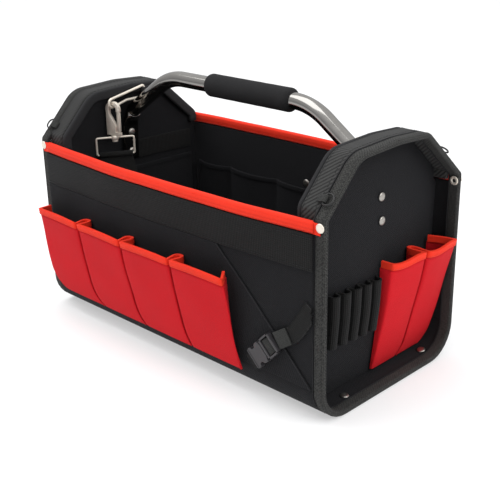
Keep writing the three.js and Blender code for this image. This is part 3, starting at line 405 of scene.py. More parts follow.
def layer_edge(z):
    """How far along the bag the layer reaches: a straight slant from its foot to its head."""
    return layer_foot + (layer_head - layer_foot) * (z - layer_bottom) / (layer_top - layer_bottom)


layer_x = -panel_end + (layer_edge(layer_z) + panel_end) * layer_share
layer = grid_piece("front_layer_cloth", wall_points(front_y, layer_x, layer_z, gap + cloth_wall))
thickened(layer, cloth_wall, 0.5 * mm)
dress(layer, black_cloth, ["front_layer"])


def corners_cut(points, times, closed=False):
    """Rounds a line by cutting each corner at a quarter of its sides, several times over."""
    for _ in range(times):
        following = np.roll(points, -1, axis=0) if closed else points[1:]
        here = points if closed else points[:-1]
        near, far = here * 0.75 + following * 0.25, here * 0.25 + following * 0.75
        cut = np.stack([near, far], 1).reshape(-1, points.shape[1])
        points = cut if closed else np.concatenate([points[:1], cut, points[-1:]])
    return points


def frames_along(path, closed=False, up=(0, 0, 1)):
    """Two directions square to a path at each point, the first as near as can be to up."""
    if closed:
        along = np.roll(path, -1, axis=0) - np.roll(path, 1, axis=0)
    else:
        along = np.gradient(path, axis=0)
    along /= np.linalg.norm(along, axis=1, keepdims=True)
    up = np.broadcast_to(np.asarray(up, float), path.shape)
    first = up - along * np.einsum("ij,ij->i", up, along)[:, None]
    first /= np.linalg.norm(first, axis=1, keepdims=True)
    return first, np.cross(along, first)


def swept(name, path, profile, closed=False, up=(0, 0, 1)):
    """A profile of (across, up) points carried along a path, closed on itself or capped."""
    first, second = frames_along(path, closed, up)
    points = path[:, None] + profile[None, :, 1:] * first[:, None] + profile[None, :, :1] * second[:, None]
    piece = grid_piece(name, points, wrap_u=closed, wrap_v=True, caps=not closed)
    return turned_out(piece)


def circle(radius, sides=12):
    """A round profile."""
    angle = np.linspace(0, 2 * np.pi, sides, endpoint=False)
    return np.stack([np.cos(angle), np.sin(angle)], -1) * radius


def rounded_bar(width, height, edge, steps=4):
    """A rectangle with round corners, as a profile about its middle."""
    angle = np.linspace(0, np.pi / 2, steps + 1)
    arcs = []
    for k, (sx, sy) in enumerate(((1, 1), (-1, 1), (-1, -1), (1, -1))):
        middle = np.array([sx * (width / 2 - edge), sy * (height / 2 - edge)])
        spoke = angle + k * np.pi / 2
        arcs.append(middle + edge * np.stack([np.cos(spoke), np.sin(spoke)], -1))
    return np.concatenate(arcs)


def joined(pieces, name):
    """Several meshes made into one object, under the first one's new name."""
    bpy.ops.object.select_all(action="DESELECT")
    for piece in pieces:
        piece.select_set(True)
    bpy.context.view_layer.objects.active = pieces[0]
    bpy.ops.object.join()
    pieces[0].name = name
    pieces[0].data.name = name
    return pieces[0]


def stitch_row(name, points, outward, spacing=4.2 * mm, length=2.9 * mm, width=0.8 * mm):
    """Sewing thread along a line: each stitch is a small six-sided capsule that lies on the
    cloth, spaced evenly by running length."""
    steps = np.linalg.norm(np.diff(points, axis=0), axis=1)
    run = np.concatenate([[0], np.cumsum(steps)])
    count = max(int(run[-1] / spacing), 2)
    at = (np.arange(count) + 0.5) * run[-1] / count

    def read_at(places, values):
        return np.stack([np.interp(places, run, values[:, k]) for k in range(3)], -1)

    middle, out = read_at(at, points), read_at(at, outward)
    along = read_at(at + length / 2, points) - read_at(at - length / 2, points)
    along /= np.linalg.norm(along, axis=1, keepdims=True)
    out /= np.linalg.norm(out, axis=1, keepdims=True)
    across = np.cross(along, out)
    rings = np.array([-1, -0.72, 0, 0.72, 1]) * length / 2
    girth = np.array([0.25, 0.85, 1, 0.85, 0.25]) * width / 2
    angle = np.linspace(0, 2 * np.pi, 6, endpoint=False)
    capsule = (
        middle[:, None, None]
        + along[:, None, None] * rings[None, :, None, None]
        + across[:, None, None] * (girth[:, None] * np.cos(angle))[None, :, :, None]
        + out[:, None, None] * (girth[:, None] * np.sin(angle) * 0.8)[None, :, :, None]
    )
    base = np.arange(count)[:, None] * 30
    i, j = np.meshgrid(np.arange(4) * 6, np.arange(6), indexing="ij")
    after = (j + 1) % 6
    quad = np.stack([i + j, i + after, i + 6 + after, i + 6 + j], -1).reshape(-1, 4)
    quads = (base[:, :, None] + quad[None]).reshape(-1, 4)
    ends = np.concatenate([base + np.arange(6)[::-1], base + 24 + np.arange(6)])
    mesh = bpy.data.meshes.new(name)
    mesh.from_pydata(capsule.reshape(-1, 3).tolist(), [], quads.tolist() + ends.tolist())
    mesh.uv_layers.new(name="UVMap")
    piece = bpy.data.objects.new(name, mesh)
    scene.collection.objects.link(piece)
    mesh.shade_smooth()
    return turned_out(piece)


black_thread = cloth(
    "black_thread", (0.006, 0.006, 0.0065), (0.024, 0.024, 0.026), 0.5 * mm, "twill", rough=0.7
)
cord_z = np.linspace(layer_bottom, layer_top, 60)
cord_line = wall_points(front_y, layer_edge(cord_z), cord_z, gap + cloth_wall * 0.8)
layer_cord = swept("front_layer_cord", cord_line, circle(1.0 * mm, 10))
dress(layer_cord, black_thread)

# Under each rim runs a broad strip of ribbed webbing, sewn down along both edges. Its close
# upright ribs show as fine lines beside the plain cloth.
ribbed_webbing = cloth(
    "ribbed_webbing", (0.0008, 0.0008, 0.0008), (0.0095, 0.0093, 0.009), 2.4 * mm, "ribbed",
    rough=0.72, relief=0.0005, speckle=0.6,
)
strip_out = gap + cloth_wall
for side, face in (("front", front_y), ("back", back_y)):
    zs = np.linspace(panel_top - strip_height, panel_top, 14)
    strip = grid_piece(f"top_strip_{side}_webbing", wall_grid(face, wall_xs, zs, strip_out))
    thickened(strip, cloth_wall, 0.5 * mm)
    dress(strip, ribbed_webbing, [f"top_strip_{side}"])
    rows = []
    for height in (panel_top - strip_height + 3 * mm, panel_top - 4 * mm):
        line = wall_points(face, wall_xs, wall_xs * 0 + height, strip_out + 0.1 * mm)
        away = np.tile([0.0, -1.0 if face is front_y else 1.0, 0.0], (wall_xs.size, 1))
        rows.append(stitch_row("stitches", line, away))
    dress(joined(rows, f"top_strip_{side}_stitches"), black_thread)

# A red woven tape binds each long rim. It is folded over the top of the padded wall, so it is
# full and round above, and its lower edge is sewn through with red thread.
red_tape = cloth(
    "red_tape", (0.46, 0.010, 0.004), (0.90, 0.040, 0.016), 1.1 * mm, "ribbed",
    rough=0.7, relief=0.00022, sheen=0.03, tint=(1.0, 0.5, 0.4),
)
red_thread = cloth("red_thread", (0.45, 0.015, 0.01), (0.85, 0.08, 0.05), 0.5 * mm, "twill", rough=0.65)
binding_wall = 8 * mm
for side, face, away in (("front", front_y, -1), ("back", back_y, 1)):
    binding_profile = rounded_bar(binding_wall, binding_height - gap, 3.4 * mm, 5)
    low = binding_profile[:, 1] < -binding_height * 0.3
    binding_profile[low, 0] *= 0.93
    middle_z = panel_top + gap + (binding_height - gap) / 2
    inward = (binding_wall - board) / 2 - binding_wall / 2
    xs = np.linspace(-panel_end, panel_end, 120)
    line = np.stack([xs, face(xs, middle_z + xs * 0) + away * inward, xs * 0 + middle_z], -1)
    puckers = 1 + 0.025 * np.sin(np.arange(120) * 1.9) + 0.015 * np.sin(np.arange(120) * 0.7)
    first, second = frames_along(line)
    points = line[:, None] + binding_profile[None, :, 1:] * first[:, None]
    points = points + binding_profile[None, :, :1] * second[:, None] * puckers[:, None, None]
    tape = turned_out(grid_piece(f"rim_binding_{side}_tape", points, wrap_v=True, caps=True))
    dress(tape, red_tape, [f"rim_binding_{side}"])
    seam_z = panel_top + gap + 2.6 * mm
    stitches = []
    for out in (1.0 * mm, -board - 1.0 * mm):
        seam = np.stack([xs, face(xs, seam_z + xs * 0) + away * out, xs * 0 + seam_z], -1)
        facing = np.tile([0.0, away * np.sign(out), 0.0], (xs.size, 1))
        stitches.append(stitch_row("stitches", seam, facing, spacing=3.8 * mm, width=0.7 * mm))
    dress(joined(stitches, f"rim_binding_{side}_stitches"), red_thread)

# Each end is a house-shaped padded panel, set back inside its hood. The handle pulls it
# outwards at the top, so that it leans and bulges, and its cloth has a plain tight weave.
gable_top, gable_crown, crown_round = 302 * mm, 3 * mm, 108 * mm
front_slope = {"eave": 242 * mm, "plateau": 70 * mm, "round": 38 * mm, "ring": 0.28}
back_slope = {"eave": 236 * mm, "plateau": 54 * mm, "round": 22 * mm, "ring": 0.5}
hood_eave, eave_round, roll_round = 228 * mm, 7 * mm, 15 * mm
panel_wall, panel_room, corner_cut = 7 * mm, 1.3 * mm, 7 * mm
hood_foot = half_width - board - gap
end_setback, end_lean, end_bulge = 38.5 * mm, 8 * mm, 12 * mm
panel_space = 0.7 * mm


def end_slopes(side):
    """The two slopes of an end in its own frame, the one on its low y side first. The slope on
    the front of the bag stands further out than the one on the back."""
    return (front_slope, back_slope) if side == "right" else (back_slope, front_slope)


def climb_of(slope):
    """Rise of a slope for each metre across."""
    return (gable_top - gable_crown - slope["eave"]) / (half_width - slope["plateau"])


def end_x(y, z):
    """Outer face of the right end panel: a lean and a bulge that is a parabola across and half
    a sine wave up."""
    bulge = end_bulge * (1 - (y / half_width) ** 2) * np.sin(np.pi * z / gable_top)
    return half_length - end_setback + end_lean * z / gable_top + bulge


def end_half_width(z, slope=back_slope):
    """Half the width of an end panel at a height: the round corner, the upright side, a step in
    under the hood's foot, and the line under the slope."""
    inset = board + gap * 2.5
    low = flat_half + np.sqrt(
        np.clip((corner_round - inset) ** 2 - np.clip(corner_round - z, 0, None) ** 2, 0, None)
    )
    upright, under_hood = half_width - inset, hood_foot - board - panel_room
    step = np.clip(z - hood_eave + 1 * mm + upright - under_hood, 0, None)
    stepped = np.clip(upright - step, under_hood, None)
    climb = climb_of(slope)
    below = (board + panel_room) * math.hypot(1, climb) / climb
    under_slope = half_width - (z - slope["eave"]) / climb - below
    return np.minimum(np.minimum(low, stepped), under_slope)


def at_end(points, side):
    """A piece made for the right end, turned half round the upright axis for the left end."""
    return points * (np.array([1, 1, 1]) if side == "right" else np.array([-1, -1, 1]))


panel_foot = board + gap * 2.5
panel_peak = gable_top - gable_crown - board - panel_room
panel_middle = 204 * mm
panel_z = np.concatenate([
    panel_foot + (corner_round - panel_foot) * np.linspace(0, 1, 16) ** 1.8,
    np.linspace(corner_round, panel_middle, 40)[1:],
    np.linspace(panel_middle, panel_peak, 40)[1:],
])
panel_u = np.linspace(-1, 1, 56)[:, None]
for side in ("right", "left"):
    low, high = end_slopes(side)
    reach = np.where(panel_u < 0, end_half_width(panel_z, low), end_half_width(panel_z, high))
    panel_y = panel_u * (reach - np.clip(panel_z - panel_peak + corner_cut, 0, None))
    panel_zs = np.broadcast_to(panel_z[None], panel_y.shape)
    end_points = np.stack([end_x(panel_y, panel_zs), panel_y, panel_zs], -1)
    end = grid_piece(f"end_panel_{side}_cloth", at_end(end_points, side))
    thickened(end, panel_wall, 1.2 * mm)
    dress(end, black_cloth, [f"end_panel_{side}"])

# The hood is a padded band of broad slanted twill that arches over each end panel. Its inner
# edge is turned down in a soft rolled seam.
hood_twill = cloth(
    "hood_twill", (0.001, 0.001, 0.001), (0.046, 0.046, 0.045), 5.8 * mm, "twill",
    rough=0.75, relief=0.0006, speckle=0.6,
)
strap_webbing = cloth(
    "strap_webbing", (0.005, 0.005, 0.0055), (0.026, 0.026, 0.0275), 1.4 * mm, "ribbed",
    rough=0.74, relief=0.0003,
)
hood_edge = half_length - 38 * mm


def rounded_route(corners, closed, steps=8):
    """A line in the y-z plane through corners given as (y, z, radius), each rounded by an arc
    of its radius, with the outward direction at each point."""
    corners = np.asarray(corners, float)
    count = len(corners)
    places, facings = [], []
    for k in range(count):
        here, radius = corners[k, :2], corners[k, 2]
        if not closed and k in (0, count - 1):
            other = corners[1, :2] if k == 0 else corners[k - 1, :2]
            along = (other - here) if k == 0 else (here - other)
            along = along / np.linalg.norm(along)
            places.append(here[None])
            facings.append(np.array([[along[1], -along[0]]]))
            continue
        arriving = here - corners[k - 1, :2]
        leaving = corners[(k + 1) % count, :2] - here
        arriving, leaving = arriving / np.linalg.norm(arriving), leaving / np.linalg.norm(leaving)
        angle = math.atan2(arriving[0] * leaving[1] - arriving[1] * leaving[0], float(arriving @ leaving))
        side_on = np.array([-arriving[1], arriving[0]]) * np.sign(angle)
        start = here - arriving * radius * math.tan(abs(angle) / 2)
        sweep = angle * np.linspace(0, 1, steps + 1)
        spoke = -side_on
        spokes = np.stack([
            spoke[0] * np.cos(sweep) - spoke[1] * np.sin(sweep),
            spoke[0] * np.sin(sweep) + spoke[1] * np.cos(sweep),
        ], -1)
        places.append(start + side_on * radius + spokes * radius)
        facings.append(spokes * np.sign(angle))
    return np.concatenate(places), np.concatenate(facings)


def refined(line, facing, closed, spacing=6 * mm):
    """The same line with points added, so that no step is longer than the spacing."""
    if closed:
        line, facing = np.concatenate([line, line[:1]]), np.concatenate([facing, facing[:1]])
    run = np.concatenate([[0], np.cumsum(np.linalg.norm(np.diff(line, axis=0), axis=1))])
    extra = np.arange(spacing, run[-1], spacing)
    at = np.unique(np.concatenate([run, extra]).round(6))
    line = np.stack([np.interp(at, run, line[:, k]) for k in (0, 1)], -1)
    facing = np.stack([np.interp(at, run, facing[:, k]) for k in (0, 1)], -1)
    facing /= np.linalg.norm(facing, axis=1, keepdims=True)
    return (line[:-1], facing[:-1]) if closed else (line, facing)


def band_along(name, line, facing, closed, profile, side):
    """A band round the house outline: profile columns are the distance along x and the depth
    under the outline."""
    points = np.empty((len(line), len(profile), 3))
    points[..., 0] = profile[None, :, 0]
    points[..., 1] = line[:, None, 0] - facing[:, None, 0] * profile[None, :, 1]
    points[..., 2] = line[:, None, 1] - facing[:, None, 1] * profile[None, :, 1]
    piece = grid_piece(name, at_end(points, side), wrap_u=closed, wrap_v=True, caps=not closed)
    return turned_out(piece)


def line_at(line, facing, x, depth, side):
    """Points along the outline at one distance along x and one depth, and their way out."""
    places = line - facing * depth
    points = np.stack([line[:, 0] * 0 + x, places[:, 0], places[:, 1]], -1)
    out = np.stack([line[:, 0] * 0, facing[:, 0], facing[:, 1]], -1)
    return at_end(points, side), at_end(out, side)


def gable_corners(side):
    """The gable's three rounded corners as (y, z, radius), over from the high y side."""
    low, high = end_slopes(side)
    peak = gable_top - gable_crown
    return [
        (high["plateau"], peak, high["round"]), (0, gable_top, crown_round),
        (-low["plateau"], peak, low["round"]),
    ]


def arch_route(side, foot_round=eave_round):
    """The hood's line: upright inside the long walls, then round the slopes of the gable."""
    low, high = (slope["eave"] + (half_width - hood_foot) * climb_of(slope) for slope in end_slopes(side))
    return refined(*rounded_route([
        (hood_foot, hood_eave, 0), (hood_foot, high, foot_round), *gable_corners(side),
        (-hood_foot, low, foot_round), (-hood_foot, hood_eave, 0),
    ], False), False)


roll_width, roll_depth = 6 * mm, 13 * mm
band_middle = (hood_edge + panel_end) / 2
band_profile = rounded_bar(panel_end - hood_edge, board, 1.6 * mm, 4) + np.array([band_middle, board / 2])
roll_profile = rounded_bar(roll_width, roll_depth, 2.9 * mm, 5)
roll_profile += np.array([hood_edge - gap - roll_width / 2, roll_depth / 2])
for side in ("right", "left"):
    arch_line, arch_facing = arch_route(side)
    band = band_along(f"hood_band_{side}_twill", arch_line, arch_facing, False, band_profile, side)
    dress(band, hood_twill, [f"hood_band_{side}"])
    roll = band_along(f"seam_roll_{side}_cloth", *arch_route(side, roll_round), False, roll_profile, side)
    dress(roll, strap_webbing, [f"seam_roll_{side}"])
    rows = []
    for x in (hood_edge + 2.4 * mm, panel_end - 4.5 * mm):
        rows.append(stitch_row("stitches", *line_at(arch_line, arch_facing, x, -0.1 * mm, side)))
    dress(joined(rows, f"hood_band_{side}_stitches"), black_thread)

# A broad black tape binds the outer edge of each end all the way round, over the bottom, up
# both corners and along the gable. A fine cord lies on each side of it, and it is stitched
# three times.
edge_tape = cloth(
    "edge_tape", (0.001, 0.001, 0.001), (0.052, 0.052, 0.049), 1.9 * mm, "plain",
    rough=0.75, relief=0.0006, speckle=1.7,
)


def house_route(side):
    """The whole outline of an end: the round bottom corners, the eaves and the gable."""
    low, high = end_slopes(side)
    return refined(*rounded_route([
        (-half_width, 0, corner_round), (half_width, 0, corner_round),
        (half_width, high["eave"], eave_round), *gable_corners(side), (-half_width, low["eave"], eave_round),
    ], True), True)


edge_start, edge_depth = half_length - edge_width, 7 * mm
tape_profile = rounded_bar(edge_width, edge_depth, 2.4 * mm, 5)
tape_profile += np.array([edge_start + edge_width / 2, edge_depth / 2])
groove = np.exp(-(((tape_profile[:, 0] - edge_start - 9.2 * mm) / (1.1 * mm)) ** 2))
tape_profile[:, 1] += 0.35 * mm * groove * (tape_profile[:, 1] < 1 * mm)
edge_seams = ((edge_start + 2.6 * mm, -0.05 * mm), (edge_start + 11.2 * mm, 0.05 * mm))
edge_cords = ((edge_start - 0.9 * mm, 0.7 * mm, 0.9 * mm), (half_length - 13.2 * mm, 7.2 * mm, 0.6 * mm))
for side in ("right", "left"):
    house_line, house_facing = house_route(side)
    tape = band_along(f"edge_binding_{side}_tape", house_line, house_facing, True, tape_profile, side)
    dress(tape, edge_tape, [f"edge_binding_{side}"])
    rows = []
    for x, depth in edge_seams:
        seam, out = line_at(house_line, house_facing, x, depth, side)
        rows.append(stitch_row("stitches", seam, out, spacing=4.6 * mm))
    seam, _ = line_at(house_line, house_facing, half_length + 0.05 * mm, 4.6 * mm, side)
    endwise = at_end(np.tile([1.0, 0, 0], (len(seam), 1)), side)
    rows.append(stitch_row("stitches", seam, endwise, spacing=4.6 * mm))
    dress(joined(rows, f"edge_binding_{side}_stitches"), black_thread)
    cords = []
    for x, depth, radius in edge_cords:
        seam, _ = line_at(house_line, house_facing, x, depth, side)
        cords.append(swept("cord", seam, circle(radius, 8), True, (1, 0, 0)))
    dress(joined(cords, f"edge_cord_{side}"), black_thread)

# The row of red pockets on the front is one length of cloth. At each seam it turns straight
# back to the wall in a narrow pleat, and each bay stands out most at its open top.
red_cloth = cloth(
    "red_cloth", (0.36, 0.003, 0.006), (0.66, 0.009, 0.017), 0.9 * mm, "plain",
    rough=0.8, relief=0.00018, sheen=0.03, tint=(1.0, 0.5, 0.5),
)
seam_neck, seam_tuck, last_tuck, fold_round = 0.6 * mm, 5.6 * mm, 15 * mm, 3 * mm


def tucked_plan(bays, span, rounding=3):
    """Plan of a row of pockets as (share along the row, share of the depth). At each seam the
    cloth is tucked in behind both bays, so that only a narrow slit shows between them."""
    stops = []
    for bay in range(bays):
        first, last = bay == 0, bay == bays - 1
        start, end = (0 if first else seam_neck / span), 1 - (0 if last else seam_neck / span)
        fold = fold_round / span
        across = np.linspace(start + fold, end - fold, 9)
        crown = 1 + 0.06 * np.sin(np.pi * (across - start - fold) / (end - start - 2 * fold))
        pattern = [(0 if first else seam_tuck / span, 0), (start + fold * 0.1, 0.86)]
        pattern += list(zip(across, crown))
        pattern += [(end - fold * 0.1, 0.86), (1 - (last_tuck if last else seam_tuck) / span, 0)]
        stops += [((bay + at) / bays, out) for at, out in pattern]
    return corners_cut(np.array(stops), rounding)


def pleated_plan(bays, span, rounding=3):
    """Plan of a pleated row as (share along the row, share of the depth), with each bay going
    straight out, across with a slight crown, and straight back, and every fold rounded."""
    start, fold = 2 * mm / span, fold_round / span
    end = 1 - start
    across = np.linspace(start + fold, end - fold, 9)
    crown = 0.98 + 0.08 * np.sin(np.pi * (across - start - fold) / (end - start - 2 * fold))
    pattern = [(start, 0), (start + fold * 0.15, 0.45), (start + fold * 0.2, 0.8), *zip(across, crown)]
    pattern += [(end - fold * 0.2, 0.8), (end - fold * 0.15, 0.45), (end, 0)]
    stops = [((bay + at) / bays, out) for bay in range(bays) for at, out in pattern]
    return corners_cut(np.array(stops), rounding)


def pleated_sheet(plan, heights, along_at, depth_at, to_place):
    """A pleated cloth: along_at and depth_at give each row's ends and depths, and to_place
    turns distance along, distance out and height into a point."""
    share, z = np.meshgrid(plan[:, 0], heights, indexing="ij")
    depth = plan[:, 1][:, None] * depth_at(share, z)
    return to_place(along_at(share, z), depth, z)


def red_pockets(label, nodes, plan, heights, top, along_at, depth_at, lifted, outwards):
    """A row of red pockets: its cloth, the tape folded over its mouth, and the tape's seam.
    lifted gives the placing function for a distance over the wall."""
    cloth_points = pleated_sheet(plan, heights, along_at, depth_at, lifted(cloth_wall))
    row = thickened(grid_piece(f"{label}_cloth", cloth_points), cloth_wall)
    dress(row, red_cloth, [nodes[0]])
    tape_rows = np.linspace(top - tape_height, top, 7)
    tape_points = pleated_sheet(plan, tape_rows, along_at, depth_at, lifted(tape_wall))
    tape = thickened(grid_piece(f"{label}_tape", tape_points), tape_wall, 1.0 * mm)
    dress(tape, red_tape, [nodes[1]])
    seam_rows = np.array([top - tape_height + 1.6 * mm])
    seam = pleated_sheet(plan, seam_rows, along_at, depth_at, lifted(tape_wall + 0.2 * mm))[:, 0]
    facing = np.tile(outwards, (len(seam), 1))
    stitches = stitch_row(f"{label}_stitches", seam, facing, spacing=3.8 * mm, width=0.7 * mm)
    dress(stitches, red_thread)


front_top, front_bottom = 153 * mm, 34 * mm
front_left, front_right, front_corner, front_flare = -234 * mm, 129 * mm, 34 * mm, 8 * mm
front_shallow, front_deep, wave_height, wave_fade = 4 * mm, 21 * mm, 2.4 * mm, 40 * mm
tape_height, tape_wall = 8 * mm, 3.2 * mm


def front_rise(z):
    """Share of the pocket row's height."""
    return np.clip((z - front_bottom) / (front_top - front_bottom), 0, 1)


def front_along(share, z):
    """Distance along the bag: a round lower left corner and a slight flare at the lower right."""
    low = np.clip(front_corner - (z - front_bottom), 0, None)
    left = front_left + front_corner - np.sqrt(np.clip(front_corner**2 - low**2, 0, None))
    right = front_right + front_flare * (1 - front_rise(z)) ** 3
    return left + (right - left) * share


def front_depth(share, z):
    """Depth of the bays: shallow at the bottom and full at the top, with soft hollows."""
    hollow = 1 - 0.05 * np.sin(z * 55 + share * 21) * np.sin(np.pi * front_rise(z))
    return (front_shallow + (front_deep - front_shallow) * front_rise(z) ** 0.8) * hollow


def mouth_wave(share, top, z):
    """How much the mouth of a bay rises between its seams, fading out below the top."""
    fading = np.clip(1 - (top - z) / wave_fade, 0, 1)
    return wave_height * (np.sin(np.pi * (share % 1)) ** 0.8 - 0.45) * fading


def on_front(lift):
    """Places a pocket's points on the front wall, lifted by the layers under it."""
    def place(x, out, z):
        bay = (x - front_left) / (front_right - front_left) * 4
        wave = mouth_wave(np.clip(bay, 0, 3.999), front_top, z)
        return np.stack([x, front_y(x, z) - (gap * 2 + cloth_wall) - lift - out, z + wave], -1)

    return place


front_plan = tucked_plan(4, (front_right - front_left) / 4)
front_heights = front_bottom + (front_top - tape_height - gap - front_bottom) * np.linspace(0.1, 1, 44) ** 2
red_pockets(
    "front_pockets", ("front_pocket_row", "front_pocket_binding"), front_plan, front_heights, front_top,
    front_along, front_depth, on_front, (0.0, -1.0, 0.0),
)

# Two deep red pockets are sewn to the lower right of the right end panel. Their top stands
# away most at the outer corner, and a single fold parts them.
end_top, end_bottom = 157 * mm, 11 * mm
end_near, end_slant, end_far = -3 * mm, 6 * mm, 115 * mm
end_shallow, end_least, end_most, sag_depth = 3 * mm, 17 * mm, 37 * mm, 1.7 * mm


def end_rise(z):
    """Share of the end pockets' height."""
    return np.clip((z - end_bottom) / (end_top - end_bottom), 0, 1)


def end_along(share, z):
    """Distance across the bag, kept inside the round corner near the bottom."""
    far = np.minimum(end_far, end_half_width(z) - gap * 2)
    near = end_near + end_slant * (1 - end_rise(z))
    return near + (far - near) * share


def end_depth(share, z):
    """Depth of the bays, growing towards the outer corner and the top, with soft hollows."""
    most = end_least + (end_most - end_least) * share
    hollow = 1 - 0.04 * np.sin(z * 47 + share * 9) * np.sin(np.pi * end_rise(z))
    return (end_shallow + (most - end_shallow) * end_rise(z) ** 0.9) * hollow


def on_end(lift):
    """Places a pocket's points on the right end panel."""
    return lambda y, out, z: np.stack([end_x(y, z) + gap + lift + out, y, z], -1)


def on_end_pocket(lift):
    """Places a pocket's points on the end, where each mouth sags beside its first fold and
    rises before its last, fading out below the top."""
    def place(y, out, z):
        bay = np.clip((y - end_near) / (end_far - end_near) * 2, 0, 1.999) % 1
        wave = -sag_depth * np.sin(2 * np.pi * bay) * np.clip(1 - (end_top - z) / wave_fade, 0, 1)
        return np.stack([end_x(y, z) + gap + lift + out, y, z + wave], -1)

    return place


end_plan = tucked_plan(2, (end_far - end_near) / 2)
end_heights = end_bottom + (end_top - tape_height - gap - end_bottom) * np.linspace(0, 1, 46) ** 1.4
red_pockets(
    "end_pockets", ("end_pocket", "end_pocket_binding"), end_plan, end_heights, end_top,
    end_along, end_depth, on_end_pocket, (1.0, 0.0, 0.0),
)

# Beside them a broad elastic webbing is sewn down at even steps, which leaves a row of round
# upright loops for tool handles.
loop_count, loop_pitch = 5, 17 * mm
loop_near = -5 * mm - loop_count * loop_pitch
loop_bottom, loop_top, loop_depth = 74 * mm, 139 * mm, 10 * mm
loop_plan = np.concatenate([[[0, 0]], pleated_plan(loop_count, loop_pitch, 2), [[1, 0]]])


def loop_out(share, z):
    """Depth of the loops: a little less at both ends, where the webbing is pulled in."""
    return loop_depth * (1 - 0.06 * np.cos(np.pi * (z - loop_bottom) / (loop_top - loop_bottom)) ** 2)


loop_rows = np.linspace(loop_bottom, loop_top, 24)
loop_points = pleated_sheet(
    loop_plan, loop_rows, lambda share, z: loop_near + share * loop_count * loop_pitch, loop_out,
    on_end(cloth_wall),
)
loops = grid_piece("tool_loops_webbing", loop_points)
thickened(loops, cloth_wall)
dress(loops, ribbed_webbing, ["tool_loops"])
rows = []
for k in range(1, loop_count):
    z = np.linspace(loop_bottom + 2 * mm, loop_top - 2 * mm, 20)
    y = z * 0 + loop_near + k * loop_pitch
    line = np.stack([end_x(y, z) + gap + cloth_wall + 0.1 * mm, y, z], -1)
    rows.append(stitch_row("stitches", line, np.tile([1.0, 0, 0], (20, 1)), spacing=3.6 * mm))
dress(joined(rows, "tool_loops_stitches"), black_thread)

# A narrow webbing strap comes out of the hood's binding and clips to a short anchor strap
# with a side-release buckle of moulded black plastic, set at a slant on the front. Its turn round
# the buckle's end bar shows in the window.
strap_half, strap_wall = 10 * mm, 1.8 * mm
ribbed_light = cloth(
    "ribbed_light", (0.003, 0.003, 0.003), (0.040, 0.041, 0.039), 1.7 * mm, "ribbed",
    rough=0.74, relief=0.0004, speckle=0.7,
)
ribbed_dark = cloth(
    "ribbed_dark", (0.001, 0.001, 0.001), (0.011, 0.011, 0.0105), 1.7 * mm, "ribbed",
    rough=0.78, relief=0.0004,
)
buckle_length, buckle_width = 44 * mm, 26 * mm
flank_bar, window_bar, end_bar = 2.4 * mm, 3.5 * mm, 3 * mm
buckle_middle = np.array([170.5, 72]) * mm
buckle_angle = math.radians(46)
lengthways = np.array([math.cos(buckle_angle), math.sin(buckle_angle)])
crossways = np.array([-lengthways[1], lengthways[0]])
layer_out = gap + cloth_wall


def on_buckle(along, across):
    """Places on the front, as (x, z), measured along and across the slanted buckle."""
    return buckle_middle + np.multiply.outer(along, lengthways) + np.multiply.outer(across, crossways)


end, flank = buckle_length / 2, buckle_width / 2
corner_places = on_buckle(np.array([1, 1, -1, -1]) * end, np.array([1, -1, 1, -1]) * flank)
wall_reach = half_width + bow_out(corner_places[:, 0], corner_places[:, 1], front_bow).max()
buckle_back = -(wall_reach + layer_out + gap)


def buckle_plate(name, outline, low, high, edge):
    """A flat plastic plate: an outline of (along, across) raised from low to high over the
    cloth, with its rims rounded by a bevel."""
    places = on_buckle(outline[:, 0], outline[:, 1])
    depths = np.array([[low], [high]])
    points = np.stack(np.broadcast_arrays(places[:, 0], buckle_back - depths, places[:, 1]), -1)
    steps = (np.arange(2) * mm, np.arange(len(places)) * mm)
    piece = grid_piece(name, points, wrap_v=True, caps=True, uv=steps)
    piece.data.shade_flat()
    turned_out(piece)
    bevel = piece.modifiers.new("edge", "BEVEL")
    bevel.width = edge
    bevel.segments = 2
    bevel.limit_method = "ANGLE"
    bevel.angle_limit = math.radians(25)
    return piece


def moulded(name, shade, rough, grain):
    """Moulded plastic: a fine even spark-eroded grain, with slight patches of polish."""
    material, tree, shader = new_material(name)
    patches = noise_node(tree, 40.0)
    tone(tree, shader, patches, [c * 0.8 for c in shade], [c * 1.25 for c in shade])
    roughen(tree, shader, patches, rough, 0.2)
    raise_relief(tree, shader, noise_node(tree, grain), 0.00008)
    shader.inputs["Specular IOR Level"].default_value = 0.35
    return material


def oblong(low, high, left, right):
    """Outline of a bar between two distances along the buckle and two across it."""
    return np.array([(low, left), (high, left), (high, right), (low, right)])


buckle_plastic = moulded("buckle_plastic", (0.034, 0.032, 0.035), 0.42, 900.0)
tongue = 2 * mm
male_frame = []
for bar in (
    (tongue, tongue + window_bar, -flank, flank), (end - end_bar, end, -flank, flank),
    (tongue, end, -flank, -flank + flank_bar), (tongue, end, flank - flank_bar, flank),
):
    male_frame.append(buckle_plate("male_bar", oblong(*bar), 0.6 * mm, 7.0 * mm, 0.6 * mm))
for sign in (-1, 1):
    prong = np.array([
        (-end * 0.42, 0.62), (tongue + 2 * mm, 0.62), (tongue + 2 * mm, 0.9),
        (-end * 0.1, 0.98), (-end * 0.42, 0.94),
    ]) * (1, sign * flank)
    male_frame.append(buckle_plate("male_prong", prong, 2.0 * mm, 5.4 * mm, 0.7 * mm))
dress(joined(male_frame, "buckle_male_plastic"), buckle_plastic, ["buckle_male"])
notch, notch_start, notch_end = 4 * mm, -end * 0.66, -end * 0.36
female_half = [
    (-end, -flank), (notch_start - end * 0.02, -flank), (notch_start + end * 0.02, notch - flank),
    (notch_end - end * 0.02, notch - flank), (notch_end + end * 0.02, -flank), (tongue - gap, -flank),
]
female_outline = corners_cut(np.array(female_half + [(a, -b) for a, b in reversed(female_half)]), 1, True)
rib = oblong(-end + 0.6 * mm, -end + 2.4 * mm, -flank + 1 * mm, flank - 1 * mm)
